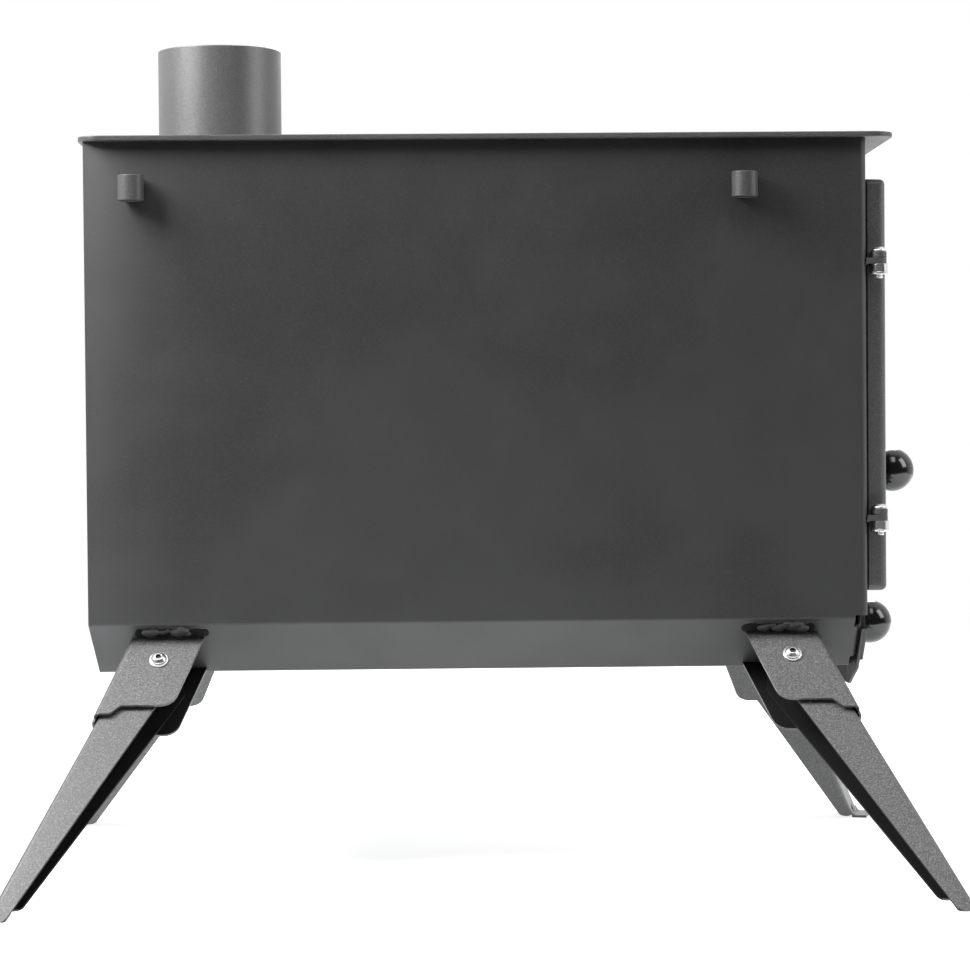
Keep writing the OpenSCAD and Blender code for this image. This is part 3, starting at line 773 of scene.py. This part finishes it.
def copies(piece: Piece, places: Iterable[Matrix], name: str) -> Piece:
    """Puts a copy of a piece, with its own mesh, at each place, and joins them.

    Args:
        piece: the piece to copy, which is then thrown away.
        places: where the copies go.
        name: the joined piece's name.

    Returns:
        The joined piece.
    """
    made = []
    for place in places:
        only(piece)
        bpy.ops.object.duplicate(linked=False)
        made.append(put(bpy.context.object, place))
    bpy.data.objects.remove(piece)
    return joined(made, name)


def joined(pieces: Sequence[Piece], name: str) -> Piece:
    """Joins pieces that are one part.

    Args:
        pieces: the pieces.
        name: the part's name.

    Returns:
        The part.
    """
    only(pieces[0])
    for piece in pieces:
        piece.select_set(True)
    if len(pieces) > 1:
        bpy.ops.object.join()
    return named(name)


def finished(piece: Piece, body: str, finishes: Sequence[Finish], *replaces: str,
             second: Test = None) -> None:
    """Dresses a piece, ties it to its body and reports it.

    Args:
        piece: the piece.
        body: the body that it rides on.
        finishes: its finishes, or none where it is dressed already.
        replaces: the CAD nodes that it stands for.
        second: the test of the faces that take the second finish.
    """
    if finishes:
        dress(piece, finishes, second)
    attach(piece, body)
    if replaces:
        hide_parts(*replaces)
    LOG.info("%s: %d faces on body %s", piece.name, len(piece.data.polygons), body)


def skin(node: str, name: str, body: str, finish: Finish, edge: float, steps: int = 2) -> None:
    """Shows a CAD node as a piece of its shape with eased edges."""
    finished(rounded_node(node, name, edge, steps), body, [finish], node)


def facing(axis: Vector, at: Vector, towards: Vector = OUT) -> Matrix:
    """A place whose Z points along an axis.

    Args:
        axis: where Z points.
        at: the place's origin.
        towards: the side that X leans to.

    Returns:
        The place.
    """
    z = axis.normalized()
    x = (towards - z * towards.dot(z)).normalized()
    return Matrix.Translation(at) @ Matrix((x, z.cross(x), z)).transposed().to_4x4()


def arc(centre: Pair, radius: float, start: float, stop: float, steps: int) -> list[Pair]:
    """Points on an arc of a profile.

    Args:
        centre: the arc's middle, as radius and height.
        radius: its radius.
        start: the angle of its first point, in degrees.
        stop: the angle of its last point.
        steps: how many stretches it has.

    Returns:
        Its points.
    """
    turns = [math.radians(start + (stop - start) * i / steps) for i in range(steps + 1)]
    return [(max(centre[0] + radius * math.cos(turn), 0.0), centre[1] + radius * math.sin(turn))
            for turn in turns]


def rim(inner: float, outer: float, top: float, radius: float, steps: int) -> list[Pair]:
    """The rounded upper end of a ring's profile, from its outside to its bore."""
    return (arc((outer - radius, top - radius), radius, 0, 90, steps)
            + arc((inner + radius, top - radius), radius, 90, 180, steps))


def mm(*points: Pair) -> list[Pair]:
    """A profile that is given in millimetres."""
    return [(radius * MM, height * MM) for radius, height in points]


# ---------------------------------------- fasteners

@dataclass(frozen=True)
class Fasteners:
    """Metric fasteners, each made with its seat at Z = 0 and its head or free end above it."""

    rod: float = 3 * MM
    head: float = 5.2 * MM
    head_h: float = 3.8 * MM
    socket: float = 4 * MM
    pitch: float = 1 * MM

    def thread(self, radius: float, low: float, high: float) -> list[Pair]:
        """The rolled thread's profile, from its chamfered end upwards.

        Args:
            radius: the thread's radius.
            low: the height of its end.
            high: the height that it ends under.

        Returns:
            The profile's points.
        """
        points = [(0.0, low), (radius - 0.7 * MM, low)]
        root = radius - 0.45 * MM
        z = low + 0.5 * MM
        while z + self.pitch < high:
            points += [(radius, z), (radius, z + 0.15 * self.pitch), (root, z + 0.55 * self.pitch),
                       (root, z + 0.65 * self.pitch)]
            z += self.pitch
        return points + [(radius, z)]

    def button_bolt(self, shank: float, threaded: float) -> Piece:
        """A button-head bolt with a hex socket.

        Args:
            shank: the bolt's length under its head.
            threaded: how much of that is threaded.

        Returns:
            The bolt, with its head above Z = 0.
        """
        dome = 1.24 * self.head
        centre = self.head_h - dome
        start = math.degrees(math.asin((1.0 * MM - centre) / dome))
        stop = math.degrees(math.acos(0.52 * self.head / dome))
        profile = self.thread(self.rod, -shank, threaded - shank) + [(self.rod, 0.0)]
        profile += [(self.head - 0.2 * MM, 0.0), (dome * math.cos(math.radians(start)), 0.25 * MM)]
        profile += arc((0.0, centre), dome, start, stop, 7)
        bolt = lathe("button_bolt", profile + [(0.0, profile[-1][1])], 40)
        cut(bolt, prism("socket_cutter", 6, self.socket / HEX_FLAT, self.head_h - 2.3 * MM, self.head_h + MM))
        ease(bolt, 0.12 * MM, 2, 34)
        # The socket's inside takes the darker steel, which is painted shade.
        dress(bolt, (BRIGHT, SOCKET_SHADE_STEEL), self.in_socket)
        return bolt

    def in_socket(self, centre: Vector, normal: Vector) -> bool:
        """Whether a face of a bolt made at the origin is inside its socket, which takes a darker steel as
        painted shade.
        """
        return math.hypot(centre.x, centre.y) < 0.6 * self.socket and 0 < centre.z < self.head_h - 0.25 * MM

    def lock_nut(self) -> Piece:
        """Makes a hexagonal flange nut.

        Returns:
            The nut: its hexagon stands on Z = 0 and its flange is the free end.
        """
        nut = prism("lock_nut", 6, 12.7 * MM, 0.0, 6.0 * MM)
        chamfer = mm((0, -0.01), (5.5, -0.01), (6.5, 0.75), (6.5, 7), (0, 7))
        cut(nut, lathe("nut_chamfer", chamfer), "INTERSECT")
        ring = mm((2.9, 5.4), (5.4, 5.4), (6.3, 6.1), (6.3, 7.0), (6.0, 7.4), (3.6, 7.4), (2.9, 6.8))
        flange = lathe("nut_flange", ring, closed=True)
        cut(nut, prism("nut_bore", 32, 2 * self.rod, -MM, 9 * MM))
        return joined([ease(nut, 0.18 * MM), smooth(flange)], "lock_nut")

    def washer(self, outer: float, inner: float, thick: float) -> Piece:
        """Makes a pressed washer with a rounded upper edge.

        Args:
            outer: its radius.
            inner: its hole's radius.
            thick: its thickness.

        Returns:
            The washer.
        """
        r = min(0.35 * MM, thick / 3)
        ring = [(inner, 0.0), (outer - 0.1 * MM, 0.0), (outer, 0.1 * MM)] + rim(inner, outer, thick, r, 3)
        return smooth(lathe("washer", ring, closed=True))

    def hex_nut(self, across: float, hole: float, thick: float) -> Piece:
        """Makes a plain nut, chamfered on both faces.

        Args:
            across: its width across its flats.
            hole: its thread's radius.
            thick: its thickness.

        Returns:
            The nut.
        """
        flat, corner = across / 2, across / 2 / HEX_FLAT
        past, low = corner + 0.01 * MM, (corner - flat) * 0.58
        mouth, wall, lip = hole + 1.4 * MM, hole - 0.05 * MM, 0.4 * MM
        nut = prism("hex_nut", 6, 2 * corner, 0.0, thick)
        chamfer = [(0.0, 0.0), (flat, 0.0), (past, low), (past, thick - low), (flat, thick), (0.0, thick)]
        cut(nut, lathe("nut_chamfer", chamfer), "INTERSECT")
        bore = [(0.0, -MM), (mouth, -MM), (wall, lip), (wall, thick - lip), (mouth, thick + MM),
                (0.0, thick + MM)]
        cut(nut, lathe("nut_bore", bore, 32))
        return ease(nut, 0.12 * MM)


FASTENERS = Fasteners()


# ---------------------------------------- welds

@dataclass
class WeldBead:
    """A hand-laid bead: overlapping ripples along a line, run together."""

    width: float = 3.4 * MM
    height: float = 1.7 * MM
    pitch: float = 1.7 * MM
    wander: float = 0.45 * MM
    uneven: float = 0.22
    seed: int = 11

    def lay(self, name: str, start: Vector, stop: Vector, up: Vector) -> Piece:
        """Lays one bead.

        Args:
            name: the bead's name.
            start: where it starts, on the joint.
            stop: where it ends.
            up: the side that it stands up on.

        Returns:
            The bead.
        """
        chance = random.Random(self.seed + len(name))
        along = stop - start
        across = up.cross(along).normalized()
        count = max(int(along.length / self.pitch), 2)
        turn = facing(up, Vector((0, 0, 0)), along)
        ripples = []
        for i in range(count + 1):
            share = i / count
            swell = 1 + self.uneven * (chance.random() - 0.5) + 0.1 * math.sin(i * 0.9)
            at = start + along * share + across * self.wander * (chance.random() - 0.5) * 2
            bpy.ops.mesh.primitive_uv_sphere_add(segments=14, ring_count=8, radius=1.0)
            ripple = bpy.context.object
            ripple.matrix_world = Matrix.Translation(at) @ turn @ Matrix.Diagonal(
                (self.pitch * 1.15 * swell, self.width / 2 * swell, self.height * swell, 1.0))
            ripples.append(settle(ripple))
        bead = joined(ripples, name)
        modifier(bead, "REMESH", mode="VOXEL", voxel_size=0.4 * MM, use_smooth_shade=True)
        modifier(bead, "SMOOTH", factor=0.35, iterations=2)
        return bead


# ---------------------------------------- sub-assemblies

@dataclass
class Corner:
    """One bottom corner of the stove, where a leg folds."""

    front: bool
    left: bool
    bolt_x: Pair = (217.309 * MM, -221.691 * MM)
    bolt_y: float = 120.445 * MM
    bolt_z: float = 157.746 * MM
    bracket_w: float = 34 * MM
    bolt_off: float = 21 * MM

    @property
    def name(self) -> str:
        """The corner's name in the frame."""
        return f"{'front' if self.front else 'rear'}_{'left' if self.left else 'right'}"

    @property
    def side(self) -> float:
        """-1 on the left side and 1 on the right."""
        return -1.0 if self.left else 1.0

    @property
    def bolt(self) -> Vector:
        """Where the leg's bolt meets the bracket's outer flange."""
        return Vector((self.bolt_x[0 if self.front else 1], self.side * self.bolt_y, self.bolt_z))

    @property
    def down(self) -> Vector:
        """Down the slope, from the outer flange to the inner one."""
        return Vector((0, -self.side, -1)).normalized()

    @property
    def off(self) -> Vector:
        """Out of the sloping panel."""
        return Vector((0, self.side, -1)).normalized()

    @property
    def along(self) -> Vector:
        """Towards the stove's near end."""
        return Vector((1 if self.front else -1, 0, 0))

    def at(self, x: float, y: float, z: float) -> Vector:
        """A point of the corner: x towards the near end, y out of the slope and z down it, from the bolt."""
        return self.bolt + self.along * x + self.off * y + self.down * z


CORNERS = [Corner(front, left) for front in (True, False) for left in (True, False)]


@dataclass
class Firebox:
    """The folded box with its front and rear plates."""

    edge: float = 0.3 * MM
    inner_fold_x: float = 267.309 * MM
    fold_outer: float = 4.6 * MM
    fold_inner: float = 2.6 * MM
    sheet: float = 2 * MM
    half: float = 115 * MM
    floor_z: float = 147 * MM
    fold_z: float = 182 * MM

    def build(self) -> None:
        """Makes the box and its plates."""
        self._shell()
        for node, back in (("rear_plate", 1), ("front_plate", -1), ("front_stiffener", -1)):
            finished(rounded_node(node, f"{node}_sheet", self.edge), "stove", (PANEL_PAINT, SOOT), node,
                     second=lambda centre, normal: normal.x * back > 0.5)

    def _shell(self) -> None:
        """Makes the folded shell, with its lower front folds rounded."""
        shell = copy_of("body_shell", "firebox_shell")
        for x, inset, radius in ((self.inner_fold_x, 0.0, self.fold_outer),
                                 (self.inner_fold_x - self.sheet, self.sheet, self.fold_inner)):
            bevel(shell, radius, 5, lambda a, b: self._on_fold(a, x, inset) and self._on_fold(b, x, inset)
                  and (a - b).length > 8 * MM)
        ease(shell, self.edge)
        finished(shell, "stove", (PANEL_PAINT, SOOT), "body_shell", second=self._inside)

    def _on_fold(self, point: Vector, x: float, inset: float) -> bool:
        """Whether a point lies on a lower fold line of the section.

        Args:
            point: the point.
            x: where the section stands.
            inset: how far the line is moved in.

        Returns:
            Whether it does.
        """
        if abs(point.x - x) > NEAR:
            return False
        slope = (self.half - abs(point.y) + (point.z - self.fold_z)) / math.sqrt(2)
        return abs(point.z - (self.floor_z + inset)) < NEAR or abs(slope - inset) < NEAR

    def _inside(self, centre: Vector, normal: Vector) -> bool:
        """Whether a face of the shell looks into the firebox.

        Args:
            centre: the face's centre.
            normal: its normal.

        Returns:
            Whether it does.
        """
        inwards = Vector((0, -centre.y, self.fold_z + 0.15 - centre.z))
        slope = self.half - abs(centre.y) + min(centre.z - self.fold_z, 0.0)
        return normal.dot(inwards) > 0 and abs(normal.x) < 0.5 and slope > 0.9 * MM


@dataclass
class Top:
    """The hotplate and the flue collar that stands in it."""

    edge: float = 0.7 * MM
    foot: float = 45.45 * MM
    collar_outer: float = 44.45 * MM
    collar_inner: float = 42.45 * MM
    rim_r: float = 0.75 * MM

    def build(self) -> None:
        """Makes the hotplate and the collar."""
        self._plate()
        self._collar()

    def _plate(self) -> None:
        """Makes the hotplate, with its underside divided along the firebox's walls, where the soot ends."""
        plate = rounded_node("hotplate", "hotplate_slab", self.edge, 3)
        rear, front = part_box("rear_plate")[1].x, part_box("front_plate")[0].x
        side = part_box("body_shell")[1].y - 2 * MM
        with editing(plate):
            for at, across in (((rear, 0, 0), (1, 0, 0)), ((front, 0, 0), (1, 0, 0)),
                               ((0, -side, 0), (0, 1, 0)), ((0, side, 0), (0, 1, 0))):
                bpy.ops.mesh.select_all(action="SELECT")
                bpy.ops.mesh.bisect(plane_co=at, plane_no=across)
        finished(plate, "stove", (PLATE_PAINT, SOOT), "hotplate", second=lambda centre, normal:
                 normal.z < -0.9 and rear < centre.x < front and abs(centre.y) < side)

    def _collar(self) -> None:
        """Turns the collar, whose foot fills the hotplate's hole."""
        low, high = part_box("flue_collar")
        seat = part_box("hotplate")[1].z
        middle = Vector(((low.x + high.x) / 2, 0, 0))
        inner, outer = self.collar_inner, self.collar_outer
        profile = [(inner, low.z), (self.foot, low.z), (self.foot, seat), (outer, seat)]
        profile += rim(inner, outer, high.z, self.rim_r, 4)
        collar = lathe("flue_collar_tube", profile, 128, closed=True)
        smooth(put(collar, Matrix.Translation(middle)))
        finished(collar, "stove", (COLLAR_PAINT, SOOT), "flue_collar", second=lambda centre, normal:
                 normal.dot((centre - middle) * Vector((1, 1, 0))) < 0)


@dataclass
class RackSockets:
    """Short tubes welded upright on the side panels."""

    outer: float = 9 * MM
    inner: float = 7 * MM
    rim_r: float = 0.6 * MM
    panel: float = 115 * MM
    xs: Pair = (-237.191 * MM, 185.809 * MM)

    def build(self) -> None:
        """Makes the four tubes and the beads that hold them."""
        low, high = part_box("rack_sockets")
        r = self.rim_r
        profile = arc((self.inner + r, low.z + r), r, 180, 270, 3)
        profile += arc((self.outer - r, low.z + r), r, 270, 360, 3)
        profile += rim(self.inner, self.outer, high.z, r, 3)
        tube = smooth(lathe("rack_socket", profile, 64, closed=True))
        spots = [Vector((x, side * (self.panel + self.outer), 0)) for x in self.xs for side in (-1, 1)]
        tubes = copies(tube, [Matrix.Translation(spot) for spot in spots], "rack_socket_tubes")
        finished(tubes, "stove", [PLATE_PAINT], "rack_sockets")
        beads = []
        weld = WeldBead(width=3.2 * MM, height=1.5 * MM, pitch=1.6 * MM)
        for spot in spots:
            for end in (-1, 1):
                x, y = spot.x + end * 4.6 * MM, math.copysign(self.panel + 0.3 * MM, spot.y)
                up = Vector((end * 0.5, math.copysign(1, spot.y), 0)).normalized()
                beads.append(weld.lay("socket_weld", Vector((x, y, low.z + 2 * MM)),
                                      Vector((x, y, high.z - 2 * MM)), up))
        finished(joined(beads, "rack_socket_welds"), "stove", [SEAM_PAINT])


@dataclass
class Legs:
    """The four folding legs, their brackets, bolts, washers, spacers and nuts."""

    edge: float = 0.35 * MM
    wall: float = 4.5 * MM
    washer_t: float = 1.2 * MM
    beads: tuple[float, float, float] = (-19 * MM, 8 * MM, 6.2 * MM)
    # Where the bands of painted shade lie under the outer beads.
    shade_bands: tuple[float, float, float] = (-31 * MM, 14 * MM, 4.4 * MM)
    tread: float = 6 * MM

    def build(self) -> None:
        """Makes every corner. The short edges on the ground stay sharp."""
        for corner in CORNERS:
            name = corner.name
            bracket = rounded_node(f"bracket_{name}", f"leg_bracket_{name}", self.edge)
            leg = copy_of(f"leg_{name}", f"leg_channel_{name}")
            least = 2 * self.tread
            bevel(leg, self.edge, 2, lambda a, b: min(a.z, b.z) >= self.tread or (a - b).length >= least,
                  sharp=True)
            # Faces that look into each channel take the darker second paint, which is painted shade.
            for channel, body, node in ((bracket, "stove", "bracket"), (smooth(leg), f"leg_{name}", "leg")):
                finished(channel, body, (TEXTURED_PAINT, CHANNEL_SHADE_PAINT), f"{node}_{name}",
                         second=lambda centre, normal: self._inside(centre, normal, corner))
        self._fasteners()
        self._welds()

    def _inside(self, centre: Vector, normal: Vector, corner: Corner) -> bool:
        """Whether a face of a corner's channel looks into it, where the paint is darkened and dulled as
        painted shade.

        Args:
            centre: the face's centre.
            normal: its normal.
            corner: the channel's corner.

        Returns:
            Whether it does.
        """
        depth = (centre - corner.bolt).dot(corner.down)
        middle = corner.bracket_w / 2
        facing_middle = normal.dot(corner.down) * (1 if depth < middle else -1) > 0.7
        on_web = abs(depth - middle) < middle - self.wall and normal.dot(corner.along) < -0.3
        return facing_middle or on_web

    def _fasteners(self) -> None:
        """Makes the bolts, washers, spacers and nuts of all corners."""
        width, thick = CORNERS[0].bracket_w, 1.85 * MM
        bolt = FASTENERS.button_bolt(width + self.washer_t + 10 * MM, 16 * MM)
        washer, spacer = (FASTENERS.washer(outer, 3.05 * MM, high)
                          for outer, high in ((6.6 * MM, self.washer_t), (7 * MM, thick)))
        for piece, name, node, finishes, way, depths in (
                (bolt, "leg_button_bolts", "leg_bolts", (), -1, [-self.washer_t]),
                (washer, "leg_washers", "leg_bolt_washers", [BRIGHT], -1, [0]),
                (FASTENERS.lock_nut(), "leg_lock_nuts", "leg_nuts", [BRIGHT], 1, [width]),
                (spacer, "leg_spacer_washers", "leg_spacers", [BRIGHT], 1, [2 * MM, width - 2 * MM - thick])):
            places = [facing(corner.down * way, corner.at(0, 0, depth), corner.along)
                      for corner in CORNERS for depth in depths]
            finished(copies(piece, places, name), "stove", finishes, node)

    def _welds(self) -> None:
        """Lays the brackets' lumpy beads on the sloping panels, and under them flat near-black bands that are
        painted shade.
        """
        lumps = WeldBead(width=5.6 * MM, height=1.5 * MM, pitch=3.2 * MM, wander=2.4 * MM, uneven=1.0, seed=5)
        # The flat dark band laid under each outer bead is painted shade.
        seam = WeldBead(width=9 * MM, height=0.6 * MM, pitch=3.0 * MM, wander=0.3 * MM, uneven=0.1)
        flanges = (("outer", 0.0, -1), ("inner", CORNERS[0].bracket_w, 1))
        for weld, (start, stop, away), name, sides, finish in (
                (lumps, self.beads, "bracket_welds", flanges, SEAM_PAINT),
                (seam, self.shade_bands, "bracket_seams", flanges[:1], SEAM_SHADE_PAINT)):
            laid = []
            for corner in CORNERS:
                y = -corner.bolt_off + 0.1 * MM
                for end, face, way in sides:
                    ends = (corner.at(x, y, face + way * away) for x in (start, stop))
                    laid.append(weld.lay(f"weld_{corner.name}_{end}", *ends, corner.off))
            finished(joined(laid, name), "stove", [finish])


@dataclass
class FrontDoor:
    """The door tray with its glass, seal, clips and the latch's bush."""

    edge: float = 0.3 * MM
    seal_round: float = 2.2 * MM
    stud_y: float = 70.5 * MM
    stud_z: Pair = (261.5 * MM, 427.5 * MM)

    def build(self) -> None:
        """Makes the door's own pieces."""
        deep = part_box("door_panel")[1].x - 3 * MM
        finished(rounded_node("door_panel", "door_tray", self.edge), "door", (DOOR_PAINT, SOOT), "door_panel",
                 second=lambda centre, normal: normal.x < -0.5 and centre.x > deep)
        skin("door_seal", "door_rope_seal", "door", ROPE, self.seal_round, 4)
        for node, name, finish in (("window_gasket", "window_tape", TAPE),
                                   ("door_glass", "window_pane", GLASS),
                                   ("glass_studs", "window_studs", BRIGHT),
                                   ("glass_clips", "window_clips", BRIGHT),
                                   ("latch_bush", "latch_bush_ring", TEXTURED_PAINT)):
            skin(node, name, "door", finish, self.edge * 0.7)
        low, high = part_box("glass_nuts")
        nut = FASTENERS.hex_nut(7 * MM, 2 * MM, high.x - low.x)
        spots = [facing(OUT, Vector((low.x, y, z)), UP)
                 for y in (-self.stud_y, self.stud_y) for z in self.stud_z]
        finished(copies(nut, spots, "window_nuts"), "door", [BRIGHT], "glass_nuts")


@dataclass
class Hinges:
    """The two hinges: welded lugs, bolts and lock nuts."""

    edge: float = 0.35 * MM
    axis: Pair = (280.709 * MM, -108 * MM)
    planes: Pair = (253.8 * MM, 432.8 * MM)
    lug: float = 4.2 * MM
    gap: float = 0.15 * MM
    past_nut: float = 10 * MM

    def build(self) -> None:
        """Makes the lugs, the bolts, the nuts and the small beads that hold the fixed lugs to the front."""
        skin("body_hinge_lugs", "fixed_hinge_lugs", "stove", PLATE_PAINT, self.edge)
        skin("door_hinge_lugs", "swinging_hinge_lugs", "door", PLATE_PAINT, self.edge)
        seats = [facing(UP, Vector((*self.axis, z + self.lug + self.gap))) for z in self.planes]
        bolt = FASTENERS.button_bolt(2 * self.lug + self.gap + self.past_nut, 11 * MM)
        finished(copies(bolt, seats, "hinge_button_bolts"), "stove", (), "hinge_bolts")
        under = [facing(-UP, Vector((*self.axis, z - self.lug))) for z in self.planes]
        finished(copies(FASTENERS.lock_nut(), under, "hinge_lock_nuts"), "stove", [BRIGHT], "hinge_nuts")
        weld = WeldBead(width=2.4 * MM, height=1.1 * MM, pitch=1.3 * MM, wander=0.2 * MM)
        x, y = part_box("front_plate")[1].x + 0.2 * MM, self.axis[1]
        up = Vector((1, 0, -1)).normalized()
        beads = [weld.lay("lug_bead", *(Vector((x, y + end * 4.5 * MM, z - self.lug)) for end in (-1, 1)), up)
                 for z in self.planes]
        finished(joined(beads, "hinge_lug_welds"), "stove", [SEAM_PAINT])


@dataclass
class BallKnob:
    """A moulded ball with a short boss where it screws down on its stem."""

    node: str
    name: str
    body: str
    boss_r: float = 6.3 * MM

    def build(self) -> None:
        """Turns the ball and sets it on its stem."""
        low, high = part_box(self.node)
        r = (high.y - low.y) / 2
        flat = math.degrees(math.asin(self.boss_r / r))
        foot = -r - 0.45 * MM
        profile = [(0.0, foot), (self.boss_r - 0.5 * MM, foot), (self.boss_r, foot + 0.4 * MM),
                   (self.boss_r, -r * math.cos(math.radians(flat)) - 0.1 * MM)]
        profile += arc((0.0, 0.0), r, flat - 90 + 2, 90, 40)
        ball = smooth(lathe(self.name, profile, 72), 60)
        put(ball, facing(OUT, Vector((high.x - r, (low.y + high.y) / 2, (low.z + high.z) / 2)), UP))
        finished(ball, self.body, [BALL], self.node)


@dataclass
class Latch:
    """The door latch: shaft, lever, cam, nuts, keeper and the lever's knob."""

    edge: float = 0.35 * MM
    across: float = 13 * MM
    hole: float = 4 * MM
    inner_nut: float = 5 * MM
    outer_nut: float = 4 * MM

    def build(self) -> None:
        """Makes the latch's pieces."""
        for node, name, finish, edge in (("latch_shaft", "latch_spindle", BRIGHT, 0.5 * MM),
                                         ("latch_lever", "latch_handle", TEXTURED_PAINT, self.edge * 2),
                                         ("latch_cam", "latch_tongue", PLATE_PAINT, self.edge),
                                         ("door_knob_stem", "handle_stem", BRIGHT, self.edge)):
            skin(node, name, "latch", finish, edge)
        skin("latch_keeper", "latch_keeper_block", "stove", SOOT, self.edge)
        low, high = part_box("latch_nuts")
        middle = (low + high) / 2
        nuts = []
        for x, thick in ((low.x, self.inner_nut), (high.x - self.outer_nut, self.outer_nut)):
            nut = FASTENERS.hex_nut(self.across, self.hole, thick)
            nuts.append(put(nut, facing(OUT, Vector((x, middle.y, middle.z)), UP)))
        finished(joined(nuts, "latch_hex_nuts"), "latch", [BRIGHT], "latch_nuts")
        BallKnob("door_knob", "handle_ball", "latch").build()


@dataclass
class AirControl:
    """The air slide, its rails, stem and knob."""

    edge: float = 0.3 * MM

    def build(self) -> None:
        """Makes the air control's pieces."""
        for node, name, body, finish in (("air_slide_rails", "air_rails", "stove", PLATE_PAINT),
                                         ("air_slide", "air_shutter", "air_control", PLATE_PAINT),
                                         ("air_knob_stem", "air_stem", "air_control", BRIGHT)):
            skin(node, name, body, finish, self.edge)
        BallKnob("air_knob", "air_ball", "air_control").build()


@dataclass
class FireSide:
    """What stands inside the firebox: the grate, the baffle plate and its rails."""

    edge: float = 0.4 * MM

    def build(self) -> None:
        """Makes the inner pieces."""
        for node, name in (("fire_grate", "fire_grate_casting"), ("baffle_plate", "baffle_sheet"),
                           ("baffle_rails", "baffle_angle_rails")):
            skin(node, name, "stove", SOOT, self.edge)


@dataclass
class Softbox:
    """One softbox of the studio."""

    name: str
    place: Vector
    aim: Vector
    width: float
    height: float
    power: float

    def build(self) -> None:
        """Hangs the softbox."""
        light = bpy.data.lights.new(self.name, "AREA")
        light.shape = "RECTANGLE"
        light.size, light.size_y = self.width, self.height
        light.energy = self.power
        lamp = standing(self.name, light)
        back = self.place - self.aim
        lamp.matrix_world = facing(back, self.place, Vector((0.001, 0, 0)) + UP.cross(back))
        lamp.visible_camera = False
        lamp.visible_transmission = False


@dataclass
class Studio:
    """The white studio: floor, world, softboxes and the camera."""

    focal_px: float = 3075.28
    frame_px: float = 970.0
    sensor: float = 36.0
    rise: float = 0.05
    eye: Vector = field(default_factory=lambda: Vector((-0.04584, -2.24768, 0.30202)))
    yaw: float = 0.02366
    pitch: float = 0.02751
    roll: float = -0.00839
    ambient: float = 0.04
    ambient_behind: float = 0.4
    room: float = 0.03
    floor_reach: tuple[float, float, float] = (1.6, -0.62, 2.6)

    def build(self) -> None:
        """Makes the studio."""
        self._floor()
        self._world()
        self._camera()
        middle = (0.0, 0.0, 0.33)
        for name, place, aim, width, height, power in (
                ("left_softbox", (-0.97, -0.5, 1.2), (-0.2, 0.0, 0.4), 0.55, 0.75, 38.0),
                ("right_softbox", (1.25, -0.4, 0.95), (0.2, 0.0, 0.35), 0.5, 0.9, 8.0),
                ("overhead_softbox", (0.0, -0.75, 1.6), middle, 1.2, 0.8, 11.5),
                ("rear_softbox", (0.1, 1.5, 1.3), middle, 1.4, 0.9, 20.0)):
            Softbox(name, Vector(place), Vector(aim), width, height, power).build()
        bpy.context.scene.view_settings.view_transform = "Standard"

    def _floor(self) -> None:
        """Lays the floor."""
        half, front, back = self.floor_reach
        bpy.ops.mesh.primitive_grid_add(x_subdivisions=8, y_subdivisions=8, size=1.0,
                                        location=(0, (front + back) / 2, -0.0002))
        bpy.context.object.scale = (2 * half, back - front, 1.0)
        floor = settle(named("studio_floor"))
        floor.data.materials.append(StudioWhite("studio_floor").material())

    def _world(self) -> None:
        """Makes the world: white where it is seen, softer where it lights."""
        bpy.context.scene.world = bpy.data.worlds.new("white_studio")
        board = Board(bpy.context.scene.world)
        direction = board.add("ShaderNodeTexCoord", {}, {}, "Generated")
        behind = board.add("ShaderNodeSeparateXYZ", {}, {0: direction}, "Y").ramp(-0.3, 0.15)
        gloom = self.room + behind * (1 - self.room)
        ambient = self.ambient + behind * self.ambient_behind
        strength = ambient + board.sight(gloom) * (1 - ambient)
        board.shown(board.add("ShaderNodeBackground", {}, {"Color": (1.0, 1.0, 1.0), "Strength": strength}))

    def _camera(self) -> None:
        """Sets the camera at the photograph's viewpoint."""
        turns = ((-self.yaw, "Z"), (math.pi / 2 - self.pitch, "X"), (self.roll, "Z"))
        lens = bpy.data.cameras.new("photo_camera")
        lens.sensor_width = self.sensor
        lens.lens = self.focal_px / self.frame_px * self.sensor
        lens.shift_y = self.rise
        lens.clip_end = 50.0
        camera = standing("photo_camera", lens)
        place = Matrix.Translation(self.eye)
        for turn, axis in turns:
            place = place @ Matrix.Rotation(turn, 4, axis)
        camera.matrix_world = place
        bpy.context.scene.camera = camera


def main() -> None:
    """Builds the sub-assemblies in order, and the studio around them."""
    logging.basicConfig(level=logging.INFO, format="%(message)s")
    for assembly in (Firebox(), Top(), RackSockets(), FireSide(), FrontDoor(), Hinges(), Latch(),
                     AirControl(), Legs(), Studio()):
        LOG.info("building %s", type(assembly).__name__)
        assembly.build()


if __name__ == "__main__":
    main()
